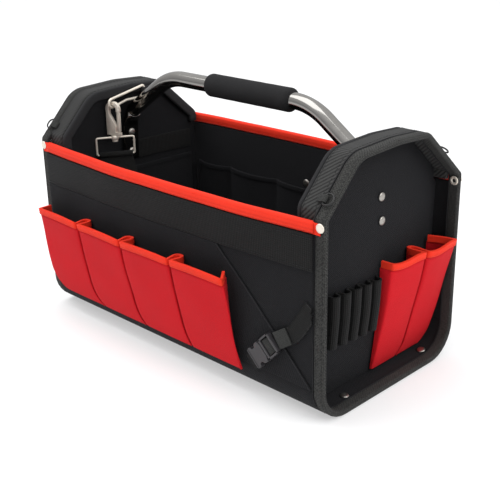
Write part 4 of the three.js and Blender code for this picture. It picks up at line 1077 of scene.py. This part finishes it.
female = [
    buckle_plate("female_shell", female_outline, 0.3 * mm, 7.3 * mm, 0.9 * mm),
    buckle_plate("female_rib", rib, 7 * mm, 7.9 * mm, 0.3 * mm),
]
dress(joined(female, "buckle_female_plastic"), buckle_plastic, ["buckle_female"])


def catmull(points, samples):
    """A smooth line through its points: each stretch is a cubic whose slopes come from the
    points on both sides."""
    padded = np.concatenate([2 * points[:1] - points[1:2], points, 2 * points[-1:] - points[-2:-1]])
    at = np.linspace(0, len(points) - 1, samples)
    k = np.minimum(at.astype(int), len(points) - 2)
    t = (at - k)[:, None]
    a, b, c, d = (padded[k + n] for n in range(4))
    return 0.5 * (2 * b + (c - a) * t + (2 * a - 5 * b + 4 * c - d) * t**2 + (3 * b - a - 3 * c + d) * t**3)


def strap_sheet(name, middle, direction, lift_at, wall):
    """A strap on the front wall: its middle line is carried across its width, at a height over
    the wall that changes along it."""
    across = np.stack([-direction[:, 1], direction[:, 0]], -1)
    widths = np.linspace(-strap_half, strap_half, 9)
    place = middle[:, None] + across[:, None] * widths[None, :, None]
    x, z = np.minimum(place[..., 0], panel_end), place[..., 1]
    points = np.stack([x, front_y(x, z) - lift_at[:, None] - wall, z], -1)
    piece = grid_piece(name, points)
    return thickened(piece, wall, 0.4 * mm)


strap_rise = 53 * mm
strap_start = on_buckle(np.array(end + gap), np.array(0.0))
strap_stops = np.array([
    strap_start, strap_start + np.array([14, 9]) * mm, strap_start + np.array([27, 19]) * mm,
    [panel_end, strap_start[1] + strap_rise],
])
strap_line = catmull(strap_stops, 60)
strap_way = np.gradient(strap_line, axis=0)
strap_way /= np.linalg.norm(strap_way, axis=1, keepdims=True)
share = np.linspace(0, 1, 60)
strap_lift = layer_out * np.clip(1.7 - share * 4, 0, 1) + gap
strap = strap_sheet("buckle_strap_webbing", strap_line, strap_way, strap_lift, strap_wall)
dress(strap, ribbed_dark, ["buckle_strap"])
turn_half, turn_high, turn_fall = 9.6 * mm, 5.6 * mm, 3.2 * mm
turn_stops = np.linspace(tongue + window_bar + 0.9 * mm, end - end_bar - 0.2 * mm, 12)
turn_run, turn_width = np.meshgrid(turn_stops, np.linspace(-turn_half, turn_half, 9), indexing="ij")
turn_place = on_buckle(turn_run, turn_width)
turn_share = (turn_run - turn_run[0, 0]) / (turn_run[-1, 0] - turn_run[0, 0])
turn_out = turn_high - turn_fall * turn_share**2.5
turn_points = np.stack([turn_place[..., 0], buckle_back - turn_out, turn_place[..., 1]], -1)
strap_turned = thickened(grid_piece("buckle_strap_turn", turn_points), strap_wall, 0.4 * mm)
dress(strap_turned, ribbed_light)
folded = slice(4, 28)
fold_lift = strap_lift[folded] + strap_wall + gap + 1.2 * mm * np.sin(np.linspace(0.2, np.pi, 24))
fold = strap_sheet("strap_fold_webbing", strap_line[folded], strap_way[folded], fold_lift, strap_wall)
dress(fold, ribbed_light, ["strap_fold"])
anchor_reach, anchor_rise = 13 * mm, 2.5 * mm
anchor_run = np.linspace(-end - gap - anchor_reach, -end - gap, 10)
anchor_line = on_buckle(anchor_run, anchor_run * 0)
anchor_way = np.tile(lengthways, (10, 1))
anchor_lift = layer_out + gap + anchor_rise * np.linspace(0, 1, 10) ** 2
anchor = strap_sheet("buckle_anchor_webbing", anchor_line, anchor_way, anchor_lift, strap_wall)
dress(anchor, ribbed_dark, ["buckle_anchor"])

# Inside, a row of shallow pockets of the same black cloth is sewn along the back wall, and one
# broad pocket with a webbing band over it on the left end.
inner_top, inner_bottom, inner_depth = 168 * mm, corner_round + gap, 9 * mm
inner_seams = np.array([-203, -138, -46, 46, 138, 203]) * mm
bay_share = np.linspace(0, 1, 20, endpoint=False)
bays = [a + (b - a) * bay_share for a, b in zip(inner_seams[:-1], inner_seams[1:])]
inner_x = np.concatenate([*bays, inner_seams[-1:]])
inner_sag = inner_depth * np.append(np.tile(np.sin(np.pi * bay_share) ** 0.7, 5), 0.0)


def inner_y(x, z, sag, out):
    """Inner face of the back wall, brought into the bag by a layer and the pockets' sag."""
    return back_y(x, z) - board - gap - cloth_wall - sag - out


x, z = np.meshgrid(inner_x, np.linspace(inner_bottom, inner_top, 24), indexing="ij")
rise = (z - inner_bottom) / (inner_top - inner_bottom)
inner = grid_piece("inner_pockets_cloth", np.stack([x, inner_y(x, z, inner_sag[:, None] * rise, 0), z], -1))
thickened(inner, cloth_wall)
dress(inner, black_cloth, ["inner_pocket_back"])
hem_height, hem_drop = 6 * mm, 2.5 * mm
hem_z = inner_x * 0 + inner_top - hem_drop
hem_line = np.stack([inner_x, inner_y(inner_x, hem_z, inner_sag, 0.6 * mm), hem_z], -1)
hem_profile = rounded_bar(1.0 * mm, hem_height, 0.4 * mm, 2)
hem = swept("inner_pockets_hem", hem_line, hem_profile)
dress(hem, black_cloth)


def left_inner(y, z, out):
    """Points inside the left end panel, at a distance out from its inner face."""
    return np.stack([-(end_x(y, z) - panel_wall - out), y, z], -1)


left_reach, left_bottom, left_top, left_sag = 108 * mm, 48 * mm, 181 * mm, 6 * mm
left_rows = np.linspace(left_bottom, left_top, 24)
y, z = np.meshgrid(np.linspace(-left_reach, left_reach, 40), left_rows, indexing="ij")
crown = (1 - (y / left_reach) ** 2) * left_sag
left_out = crown * (z - left_bottom) / (left_top - left_bottom) + panel_space + cloth_wall
left_pocket = grid_piece("inner_pocket_left_cloth", left_inner(y, z, left_out))
thickened(left_pocket, cloth_wall)
dress(left_pocket, black_cloth, ["inner_pocket_left"])
hem_out = crown[:, 0] * 0.98 + 1.2 * mm + cloth_wall
hem_line = left_inner(y[:, 0], y[:, 0] * 0 + left_top - hem_drop, hem_out)
hem = swept("inner_pocket_left_hem", hem_line, hem_profile)
dress(hem, black_cloth)
band_near, band_bottom, band_top = 14.5 * mm, 190 * mm, 217 * mm
band_rows = np.linspace(band_bottom, band_top, 8)
y, z = np.meshgrid(np.linspace(band_near, left_reach, 24), band_rows, indexing="ij")
band = grid_piece("inner_band_left_webbing", left_inner(y, z, panel_space + cloth_wall))
thickened(band, cloth_wall, 0.4 * mm)
dress(band, ribbed_webbing, ["inner_band_left"])

# The handle is one plated steel tube bent over both ends. It is pressed flat where it is
# riveted to the panels, and a foam sleeve covers its middle, a little to the right.
def plated(name, shade, rough, streak, metal=1.0):
    """Plated metal: bright, with fine wiping marks that vary the roughness."""
    material, tree, shader = new_material(name)
    marks = noise_node(tree, 60.0, 5.0, streak)
    tone(tree, shader, marks, [c * 0.82 for c in shade], [min(c * 1.12, 1) for c in shade])
    roughen(tree, shader, marks, rough, 0.16)
    shader.inputs["Metallic"].default_value = metal
    return material


# Painted reflection: the plating's colour is set dark grey to stand for the black bag it reflects, in place
# of bright chrome.
tube_steel_painted_dark_reflection = plated("tube_steel_painted_dark_reflection", (0.27, 0.262, 0.25), 0.13, (0.3, 3.0, 3.0))
tube_radius, tube_height, tube_slope = 10 * mm, 321 * mm, math.radians(34.5)
bend = np.linspace(0, tube_slope, 25)
tube_straight, tube_bend = 97 * mm, 85 * mm
bend_x = tube_straight + tube_bend * np.sin(bend)
bend_z = tube_height - tube_bend * (1 - np.cos(bend))
reach_x, leg_foot = 205 * mm, 192 * mm
flat_wide, flat_thick, press_length = 13 * mm, 2.5 * mm, 22 * mm
reach_z = bend_z[-1] - (reach_x - bend_x[-1]) * math.tan(tube_slope)


def leg_x(z):
    """Middle of the flattened leg, just inside the end panel."""
    return end_x(z * 0, z) - panel_wall - panel_space * 1.5 - flat_thick


squeeze = np.array([[0, 0, 0, 1], [0.32, 0.58, 0.5, 0.62], [0.62, 0.85, 0.82, 0.28], [1, 1, 1, 0]])
press_z = reach_z - squeeze[:, 0] * press_length
press_thick = flat_thick + (tube_radius - flat_thick) * squeeze[:, 3]
press_x = reach_x + (leg_x(press_z) - press_thick + flat_thick - reach_x) * squeeze[:, 1] ** 0.8
press_angle = tube_slope + (math.pi / 2 - tube_slope) * squeeze[:, 1]
press_wide = tube_radius + (flat_wide - tube_radius) * squeeze[:, 2]
leg_z = np.linspace(press_z[-1], leg_foot, 14)[1:]
slope_x = np.linspace(bend_x[-1], reach_x, 12)[1:-1]
slope_z = np.linspace(bend_z[-1], reach_z, 12)[1:-1]
level = slope_x * 0
stations = np.concatenate([
    np.stack([bend_x, bend_z, bend, bend * 0 + tube_radius, bend * 0 + tube_radius], -1),
    np.stack([slope_x, slope_z, level + tube_slope, level + tube_radius, level + tube_radius], -1),
    catmull(np.stack([press_x, press_z, press_angle, press_wide, press_thick], -1), 22),
    np.stack(np.broadcast_arrays(leg_x(leg_z), leg_z, math.pi / 2, flat_wide, flat_thick), -1),
])
mirrored = stations[::-1] * np.array([-1, 1, -1, 1, 1])
stations = np.concatenate([mirrored, stations])
round_share = (stations[:, 4] - flat_thick) / (tube_radius - flat_thick)
power = (0.5 + 0.5 * np.clip(round_share, 0, 1))[:, None]
around = np.linspace(0, 2 * np.pi, 40, endpoint=False)[None]
tube_across = np.sign(np.sin(around)) * np.abs(np.sin(around)) ** power * stations[:, 3:4]
tube_out = np.sign(np.cos(around)) * np.abs(np.cos(around)) ** power * stations[:, 4:5]
tube_points = np.stack([
    stations[:, 0:1] + tube_out * np.sin(stations[:, 2:3]),
    tube_across,
    stations[:, 1:2] + tube_out * np.cos(stations[:, 2:3]),
], -1)
tube = turned_out(grid_piece("handle_tube_steel", tube_points, wrap_v=True, caps=True))
dress(tube, tube_steel_painted_dark_reflection, ["handle_tube"])


def foam_skin():
    """Closed foam rubber: dull, with small pores and a faint mottle."""
    material, tree, shader = new_material("foam_skin")
    place = tree.nodes.new("ShaderNodeTexCoord")
    pores = tree.nodes.new("ShaderNodeTexVoronoi")
    pores.inputs["Scale"].default_value = 900.0
    tree.links.new(place.outputs["Object"], pores.inputs["Vector"])
    pore_share = math_node(tree, "MULTIPLY", pores.outputs["Distance"], 0.7)
    mottle_share = math_node(tree, "MULTIPLY", noise_node(tree, 70.0), 0.5)
    shade = math_node(tree, "ADD", pore_share, mottle_share)
    tone(tree, shader, shade, (0.006, 0.006, 0.0065), (0.017, 0.017, 0.018))
    raise_relief(tree, shader, pores.outputs["Distance"], 0.0002)
    shader.inputs["Roughness"].default_value = 0.88
    shader.inputs["Specular IOR Level"].default_value = 0.2
    return material


def lathed(name, profile, sides, middle, axis, across):
    """A profile of (radius, height) points turned about an axis; it closes on itself."""
    axis, across = np.asarray(axis, float), np.asarray(across, float)
    other = np.cross(axis, across)
    angle = np.linspace(0, 2 * np.pi, sides, endpoint=False)
    spoke = np.cos(angle)[:, None] * across + np.sin(angle)[:, None] * other
    points = np.asarray(middle) + profile[None, :, :1] * spoke[:, None] + profile[None, :, 1:] * axis
    return turned_out(grid_piece(name, points, wrap_u=True, wrap_v=True))


grip_middle, grip_half, grip_radius, grip_bore, grip_round = 24 * mm, 71 * mm, 14.5 * mm, 10.3 * mm, 6 * mm
grip_angle = np.linspace(0, np.pi / 2, 8)
grip_end = grip_round * np.stack([np.sin(grip_angle), np.cos(grip_angle)], -1)
grip_end += np.array([grip_radius - grip_round, grip_half - grip_round])
grip_shoulder, grip_dent = 8 * mm, 0.15 * mm
body_run = np.linspace(grip_half - grip_shoulder, grip_shoulder - grip_half, 14)
grip_body = np.stack([grip_radius - grip_dent * np.cos(np.linspace(-8, 8, 14)) ** 2, body_run], -1)
grip_profile = np.concatenate([
    [[grip_bore, grip_half]], grip_end, grip_body, grip_end[::-1] * [1, -1], [[grip_bore, -grip_half]],
])
grip = lathed("handle_grip_foam", grip_profile, 48, (grip_middle, 0, tube_height), (1, 0, 0), (0, 0, 1))
dress(grip, foam_skin(), ["handle_grip"])

# Domed rivets of plated steel hold the rims, the handle's legs and the flange on the bottom.
# The back rim's show their washers inside, and the handle's have a second head on the legs.
bright_nickel = plated("bright_nickel", (0.80, 0.735, 0.64), 0.36, (2.0, 2.0, 2.0), 0.45)
rivet_steel = plated("rivet_steel", (0.40, 0.38, 0.35), 0.38, (2.0, 2.0, 2.0))
rivet_radius, rivet_height = 5.3 * mm, 2.2 * mm


def dome(radius, height, lip=0.25):
    """Profile of a rivet head: a short upright rim and a quarter ellipse, closed flat below."""
    angle = np.linspace(0, np.pi / 2, 9)
    cap = np.stack([radius * np.cos(angle) + 1e-6, height * (lip + (1 - lip) * np.sin(angle))], -1)
    return np.concatenate([[[1e-6, 0], [radius * 0.97, 0], [radius, height * 0.06]], cap])


def rivet(name, place, facing, nodes=(), metal=rivet_steel):
    """One rivet head on its place, facing outwards."""
    facing = np.asarray(facing, float)
    across = np.cross(facing, (0.3, 0.5, 0.8))
    across /= np.linalg.norm(across)
    piece = lathed(name, dome(rivet_radius, rivet_height), 28, place, facing, across)
    return dress(piece, metal, nodes)


rivet_inset, rivet_margin = 6 * mm, 3.5 * mm
tongue_drop, tongue_reach, tongue_past = 6.9 * mm, 9.5 * mm, 0.5 * mm
handle_rivet_rows = (("upper", 232 * mm), ("lower", 204 * mm))
tongue_profile = rounded_bar(1.0 * mm, 13 * mm, 0.4 * mm, 3)
washer_profile = np.array([[2.2, 0], [5.4, 0], [5.6, 0.3], [5.4, 0.7], [2.4, 0.8]]) * mm
for sign, side in ((-1, "left"), (1, "right")):
    rivet_x = sign * (half_length - rivet_inset)
    for facing, wall_name, slope in ((-1, "front", front_slope), (1, "back", back_slope)):
        rivet_z = slope["eave"] - rivet_margin - rivet_radius - gap
        place = np.array([rivet_x, facing * (half_width + gap), rivet_z])
        node = f"rim_rivet_{wall_name}_{side}"
        rivet(f"{node}_head", place, (0, facing, 0), [node], bright_nickel)
        tongue_x = rivet_x - sign * np.linspace(tongue_reach, -tongue_past, 8)
        tongue_y = facing * (half_width + 0.6 * mm)
        tongue_line = np.stack(np.broadcast_arrays(tongue_x, tongue_y, rim_top - tongue_drop), -1)
        dress(swept(f"rim_tongue_{wall_name}_{side}", tongue_line, tongue_profile), red_tape)
        if wall_name == "back":
            inside = place - np.array([0, panel_wall + 2 * gap, 0])
            washer = lathed(f"rim_washer_back_{side}", washer_profile, 24, inside, (0, -1, 0), (1, 0, 0))
            dress(washer, bright_nickel)
    for level, z in handle_rivet_rows:
        node = f"handle_rivet_{level}_{side}"
        rivet(f"{node}_head", (sign * (end_x(0.0, z) + panel_space), 0, z), (sign, 0, 0), [node])
        leg_face = leg_x(np.array(z)) - flat_thick - 0.1 * mm
        rivet(f"{node}_inner", (sign * leg_face, 0, z), (-sign, 0, 0))
wall_rivet_x, wall_rivet_z = 7 * mm, 173 * mm
wall_rivet = np.array([wall_rivet_x, back_y(wall_rivet_x, wall_rivet_z) - board, wall_rivet_z])
rivet("inner_wall_rivet_head", wall_rivet, (0, -1, 0))
inner_round = corner_round - board
floor_rivet_reach, floor_rivet_shift, floor_rivet_inset = 76 * mm, 15 * mm, 21 * mm
for name, sign in (("near", -1), ("far", 1)):
    y = sign * floor_rivet_reach + floor_rivet_shift
    lean = math.asin(max(0.0, abs(y) - flat_half) / inner_round)
    lifted = inner_round - math.sqrt(inner_round**2 - rivet_radius**2) if lean > 0 else 0
    sunk = inner_round - gap - lifted
    facing = np.array([0, -sign * math.sin(lean), math.cos(lean)])
    place_y, place_z = y + facing[1] * (inner_round - sunk), corner_round - sunk * facing[2]
    place = np.array([half_length - floor_rivet_inset, place_y, place_z])
    rivet(f"floor_rivet_{name}_head", place, facing, [f"floor_rivet_{name}"])
    rivet(f"floor_rivet_{name}_left_head", at_end(place, "left"), at_end(facing, "left"))

# On each end a plated wire ring sits in a webbing tab beside the tube. It carries the strap's
# swivel hook: a flat C of metal with a sprung gate, on a collar with a wide wire loop.
wire_radius = 1.8 * mm
roll_inner = hood_edge - gap * 3 - 6 * mm
ring_x = roll_inner - wire_radius - 1.5 * mm
tube_top_z = bend_z[-1] - (ring_x - bend_x[-1]) * math.tan(tube_slope) + tube_radius / math.cos(tube_slope)
ring_z = tube_top_z + wire_radius + gap * 2
ring_y = -tube_radius - wire_radius * 4
hook_y, nose_y, dip = 38 * mm, 44 * mm, 7.8 * mm


def wire_ring(name, corners, radius, middle, across, up, side, sides=14, steps=6, spacing=4 * mm):
    """A round wire carried along a closed rounded line, whose corners are given across and up
    from its middle."""
    line, facing = refined(*rounded_route(corners, True, steps), True, spacing)
    ring = circle(radius, sides)
    across, up = np.asarray(across, float), np.asarray(up, float)
    points = (
        np.asarray(middle)
        + (line[:, None, :1] + facing[:, None, :1] * ring[None, :, :1]) * across
        + (line[:, None, 1:] + facing[:, None, 1:] * ring[None, :, :1]) * up
        + ring[None, :, 1:] * np.cross(across, up)
    )
    return turned_out(grid_piece(name, at_end(points, side), wrap_u=True, wrap_v=True))


def tab_outline(wire, tongue_length, wall):
    """Side view of a webbing tab folded round a wire: a flat tongue and a round eye, as the
    closed outline of a doubled strap of the given wall."""
    eye = wire + gap
    outer = eye + wall
    angle = np.linspace(-np.pi / 2, np.pi * 0.75, 18)
    head = outer * np.stack([np.cos(angle), np.sin(angle)], -1)
    upper = -outer + 2 * wall
    return np.concatenate([head, [[-outer * 1.7, upper], [-tongue_length, upper], [-tongue_length, -outer]]])


def tab_piece(name, outline, width, along, out, place, side):
    """The tab's outline carried through the webbing's width, with its edges rounded."""
    along, out, place = (at_end(np.asarray(v, float), side) for v in (along, out, place))
    through = np.cross(along, out)
    depths = np.array([-0.5, -0.46, 0.46, 0.5]) * width
    shrink = np.array([0.97, 1, 1, 0.97])
    middle = outline.mean(0)
    shaped = middle + (outline - middle)[None] * shrink[:, None, None]
    points = place + shaped[..., :1] * along + shaped[..., 1:] * out + depths[:, None, None] * through
    return turned_out(grid_piece(name, points, wrap_v=True, caps=True))


ring_slope, nose_high, ring_tall, tab_reach = 30 * mm, 12.2 * mm, 16 * mm, 24 * mm
slope_round, nose_round, foot_round = 15 * mm, 5 * mm, 2.6 * mm
ring_corners = [
    (ring_y, ring_z, foot_round), (nose_y - ring_slope, ring_z, slope_round),
    (nose_y, ring_z - dip, nose_round), (nose_y, ring_z - dip + nose_high, nose_round),
    (ring_y, ring_z + ring_tall, foot_round),
]
for side in ("right", "left"):
    ring = wire_ring(
        f"strap_ring_{side}_wire", ring_corners, wire_radius, (ring_x, 0, 0), (0, 1, 0), (0, 0, 1), side,
        steps=8,
    )
    dress(ring, bright_nickel, [f"strap_ring_{side}"])
    tab = tab_piece(
        f"ring_tab_{side}_webbing", tab_outline(wire_radius, tab_reach, 1.5 * mm), 10 * mm,
        (0, 1, 0), (-1, 0, 0), (ring_x, ring_y, ring_z + ring_tall / 2), side,
    )
    dress(tab, strap_webbing, [f"ring_tab_{side}"])


def rounded_copy(node, name, edge):
    """A CAD solid's own mesh, copied, merged and given rounded edges."""
    piece = bpy.data.objects.new(name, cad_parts[node].data.copy())
    scene.collection.objects.link(piece)
    bpy.ops.object.select_all(action="DESELECT")
    bpy.context.view_layer.objects.active = piece
    piece.select_set(True)
    bpy.ops.object.mode_set(mode="EDIT")
    bpy.ops.mesh.select_all(action="SELECT")
    bpy.ops.mesh.remove_doubles(threshold=0.00001)
    bpy.ops.mesh.dissolve_limited(angle_limit=math.radians(1.0))
    bpy.ops.object.mode_set(mode="OBJECT")
    bevel = piece.modifiers.new("edge", "BEVEL")
    bevel.width = edge
    bevel.segments = 3
    bevel.limit_method = "ANGLE"
    bevel.angle_limit = math.radians(40)
    piece.data.shade_smooth()
    bevel.harden_normals = True
    return piece


hook_inner, hook_reach = 6 * mm, 33 * mm
hook_dip = dip * (ring_slope + hook_y - nose_y) / ring_slope
hook_base = ring_z - hook_dip + wire_radius + gap * 5 - hook_reach - hook_inner
loop_angle, loop_wire, loop_drop, loop_round = math.radians(60), 1.5 * mm, 24 * mm, 2.4 * mm
stem_foot, collar_height, collar_edge = 3 * mm, 5.9 * mm, 2.2 * mm
collar_bore, collar_neck, collar_radius = 2.8 * mm, 4.4 * mm, 5.0 * mm
collar_half = collar_height / 2
collar_middle = -stem_foot - gap - collar_half
shoulder_width, shoulder_wall = 46 * mm, 2.2 * mm
loop_half = shoulder_width / 2 + 3 * mm
loop_across = np.array([math.cos(loop_angle), math.sin(loop_angle), 0.0])
loop_corners = [
    (x * loop_half, collar_middle - low * loop_drop, loop_round)
    for x, low in ((-1, 0), (-1, 1), (1, 1), (1, 0))
]
collar_profile = np.array([
    [collar_bore, -collar_half], [collar_neck, -collar_half], [collar_radius, -collar_edge],
    [collar_radius, collar_edge], [collar_neck, collar_half], [collar_bore, collar_half],
])
hook_foot = np.array([ring_x, hook_y, hook_base])
for side in ("right", "left"):
    for part, edge, body in (("hook_body", 0.9 * mm, "tote"), ("hook_gate", 0.8 * mm, f"gate_{side}")):
        node = f"{part}_{side}"
        dress(rounded_copy(node, f"{node}_metal", edge), bright_nickel, [node], body=body)
    wire = wire_ring(
        "loop_wire", loop_corners, loop_wire, hook_foot, loop_across, (0, 0, 1), side, spacing=5 * mm
    )
    collar_place = at_end(hook_foot + np.array([0, 0, collar_middle]), side)
    collar = lathed("loop_collar", collar_profile, 28, collar_place, (0, 0, 1), (1, 0, 0))
    dress(joined([wire, collar], f"hook_loop_{side}_wire"), bright_nickel, [f"hook_loop_{side}"])

# One plain webbing strap is sewn round the loops of the two hooks. It hangs down inside each
# end and lies across the bottom of the bag.
bar_z = hook_base + collar_middle - loop_drop
eye = loop_wire + gap
floor_z = board + gap + shoulder_wall / 2
start_z = bar_z - eye - shoulder_wall * 0.4
drop, bend_size = start_z - floor_z, 14 * mm
hang_turn, floor_turn = 60, 100
far_x, far_y = ring_x - 24 * mm, hook_y * 0.75
route = np.array([
    [0, 0, 0], [0.1, 0.2, 0.08], [0.25, 0.5, 0.25], [0.45, 0.75, 0.5], [0.7, 0.92, 0.75],
    [1 - bend_size / drop, 1, 0.9],
])
hanging = np.stack([
    -(ring_x + (far_x - ring_x) * route[:, 1]), -(hook_y + (far_y - hook_y) * route[:, 1]),
    start_z - route[:, 0] * drop, hang_turn + (floor_turn - hang_turn) * route[:, 2],
], -1)
swing = np.radians([30.0, 60.0, 90.0])
turning = np.stack([
    -far_x + bend_size * (1 - np.cos(swing)), -far_y * (1 - 0.03 * swing / (np.pi / 2)),
    floor_z + bend_size * (1 - np.sin(swing)), swing * 0 + floor_turn,
], -1)
left_to_go = np.array([[0.75], [0.5], [0.25]])
lying_level = np.tile([floor_z, floor_turn], (3, 1))
lying = np.concatenate([turning[-1:, :2] * left_to_go, lying_level], -1)
half_route = np.concatenate([hanging, turning, lying])
whole_route = np.concatenate([half_route, [[0, 0, floor_z, floor_turn]], half_route[::-1] * (-1, -1, 1, 1)])
smooth_route = catmull(whole_route, 260)
strap_turn = np.radians(smooth_route[:, 3:4])
strap_across = np.concatenate([np.cos(strap_turn), np.sin(strap_turn), strap_turn * 0], 1)
strap_along = np.gradient(smooth_route[:, :3], axis=0)
strap_along /= np.linalg.norm(strap_along, axis=1, keepdims=True)
strap_out = np.cross(strap_along, strap_across)
strap_out /= np.linalg.norm(strap_out, axis=1, keepdims=True)
strap_profile = rounded_bar(shoulder_width, shoulder_wall, 0.7 * mm, 3)
strap_points = (
    smooth_route[:, None, :3]
    + strap_profile[None, :, :1] * strap_across[:, None]
    + strap_profile[None, :, 1:] * strap_out[:, None]
)
eye_outer = eye + shoulder_wall
eye_half = [[eye, -0.5], [eye_outer - 0.4 * mm, -0.5], [eye_outer, -0.49]]
eye_other = [[radius, -run] for radius, run in reversed(eye_half)]
eye_profile = np.array(eye_half + eye_other) * (1, shoulder_width)
parts = [turned_out(grid_piece("strap_run", strap_points, wrap_v=True, caps=True))]
for sign in (-1, 1):
    bar_place = (sign * ring_x, sign * hook_y, bar_z)
    parts.append(lathed("strap_eye", eye_profile, 36, bar_place, loop_across, (0, 0, 1)))
dress(joined(parts, "shoulder_strap_webbing"), ribbed_dark, ["shoulder_strap"])

# Four small wire rings for clips lie on the slopes of the hoods, each in a short webbing tab
# that is sewn into the seam beside the binding.
blackened_wire = moulded("blackened_wire", (0.012, 0.012, 0.012), 0.4, 500.0)
side_wire, side_wall, side_inset = 1.0 * mm, 1.5 * mm, 11.5 * mm
side_reach, side_half, side_nose, side_foot = 10.5 * mm, 6.5 * mm, 6 * mm, 1.8 * mm
side_corners = [
    (0, -side_half, side_foot), (side_reach, -side_half, side_nose), (side_reach, side_half, side_nose),
    (0, side_half, side_foot),
]
for side in ("right", "left"):
    for where, facing, slope in zip(("near", "far"), (-1, 1), end_slopes(side)):
        slope_run, slope_rise = half_width - slope["plateau"], gable_top - gable_crown - slope["eave"]
        normal = np.array([0, facing * slope_rise, slope_run]) / math.hypot(slope_run, slope_rise)
        foot = np.array([
            half_length - side_inset, facing * (half_width - slope_run * slope["ring"]),
            slope["eave"] + slope_rise * slope["ring"],
        ])
        middle = foot + normal * (gap * 2 + side_wire + side_wall)
        sideways = np.cross((1.0, 0, 0), normal)
        ring = wire_ring(
            f"side_ring_{where}_{side}_wire", side_corners, side_wire, middle, (1, 0, 0), sideways, side,
            sides=12, spacing=3 * mm,
        )
        dress(ring, blackened_wire, [f"side_ring_{where}_{side}"])
        tab = tab_piece(
            f"side_tab_{where}_{side}_webbing", tab_outline(side_wire, 9 * mm, side_wall), 8.5 * mm,
            (1, 0, 0), normal, middle, side,
        )
        dress(tab, ribbed_light, [f"side_tab_{where}_{side}"])
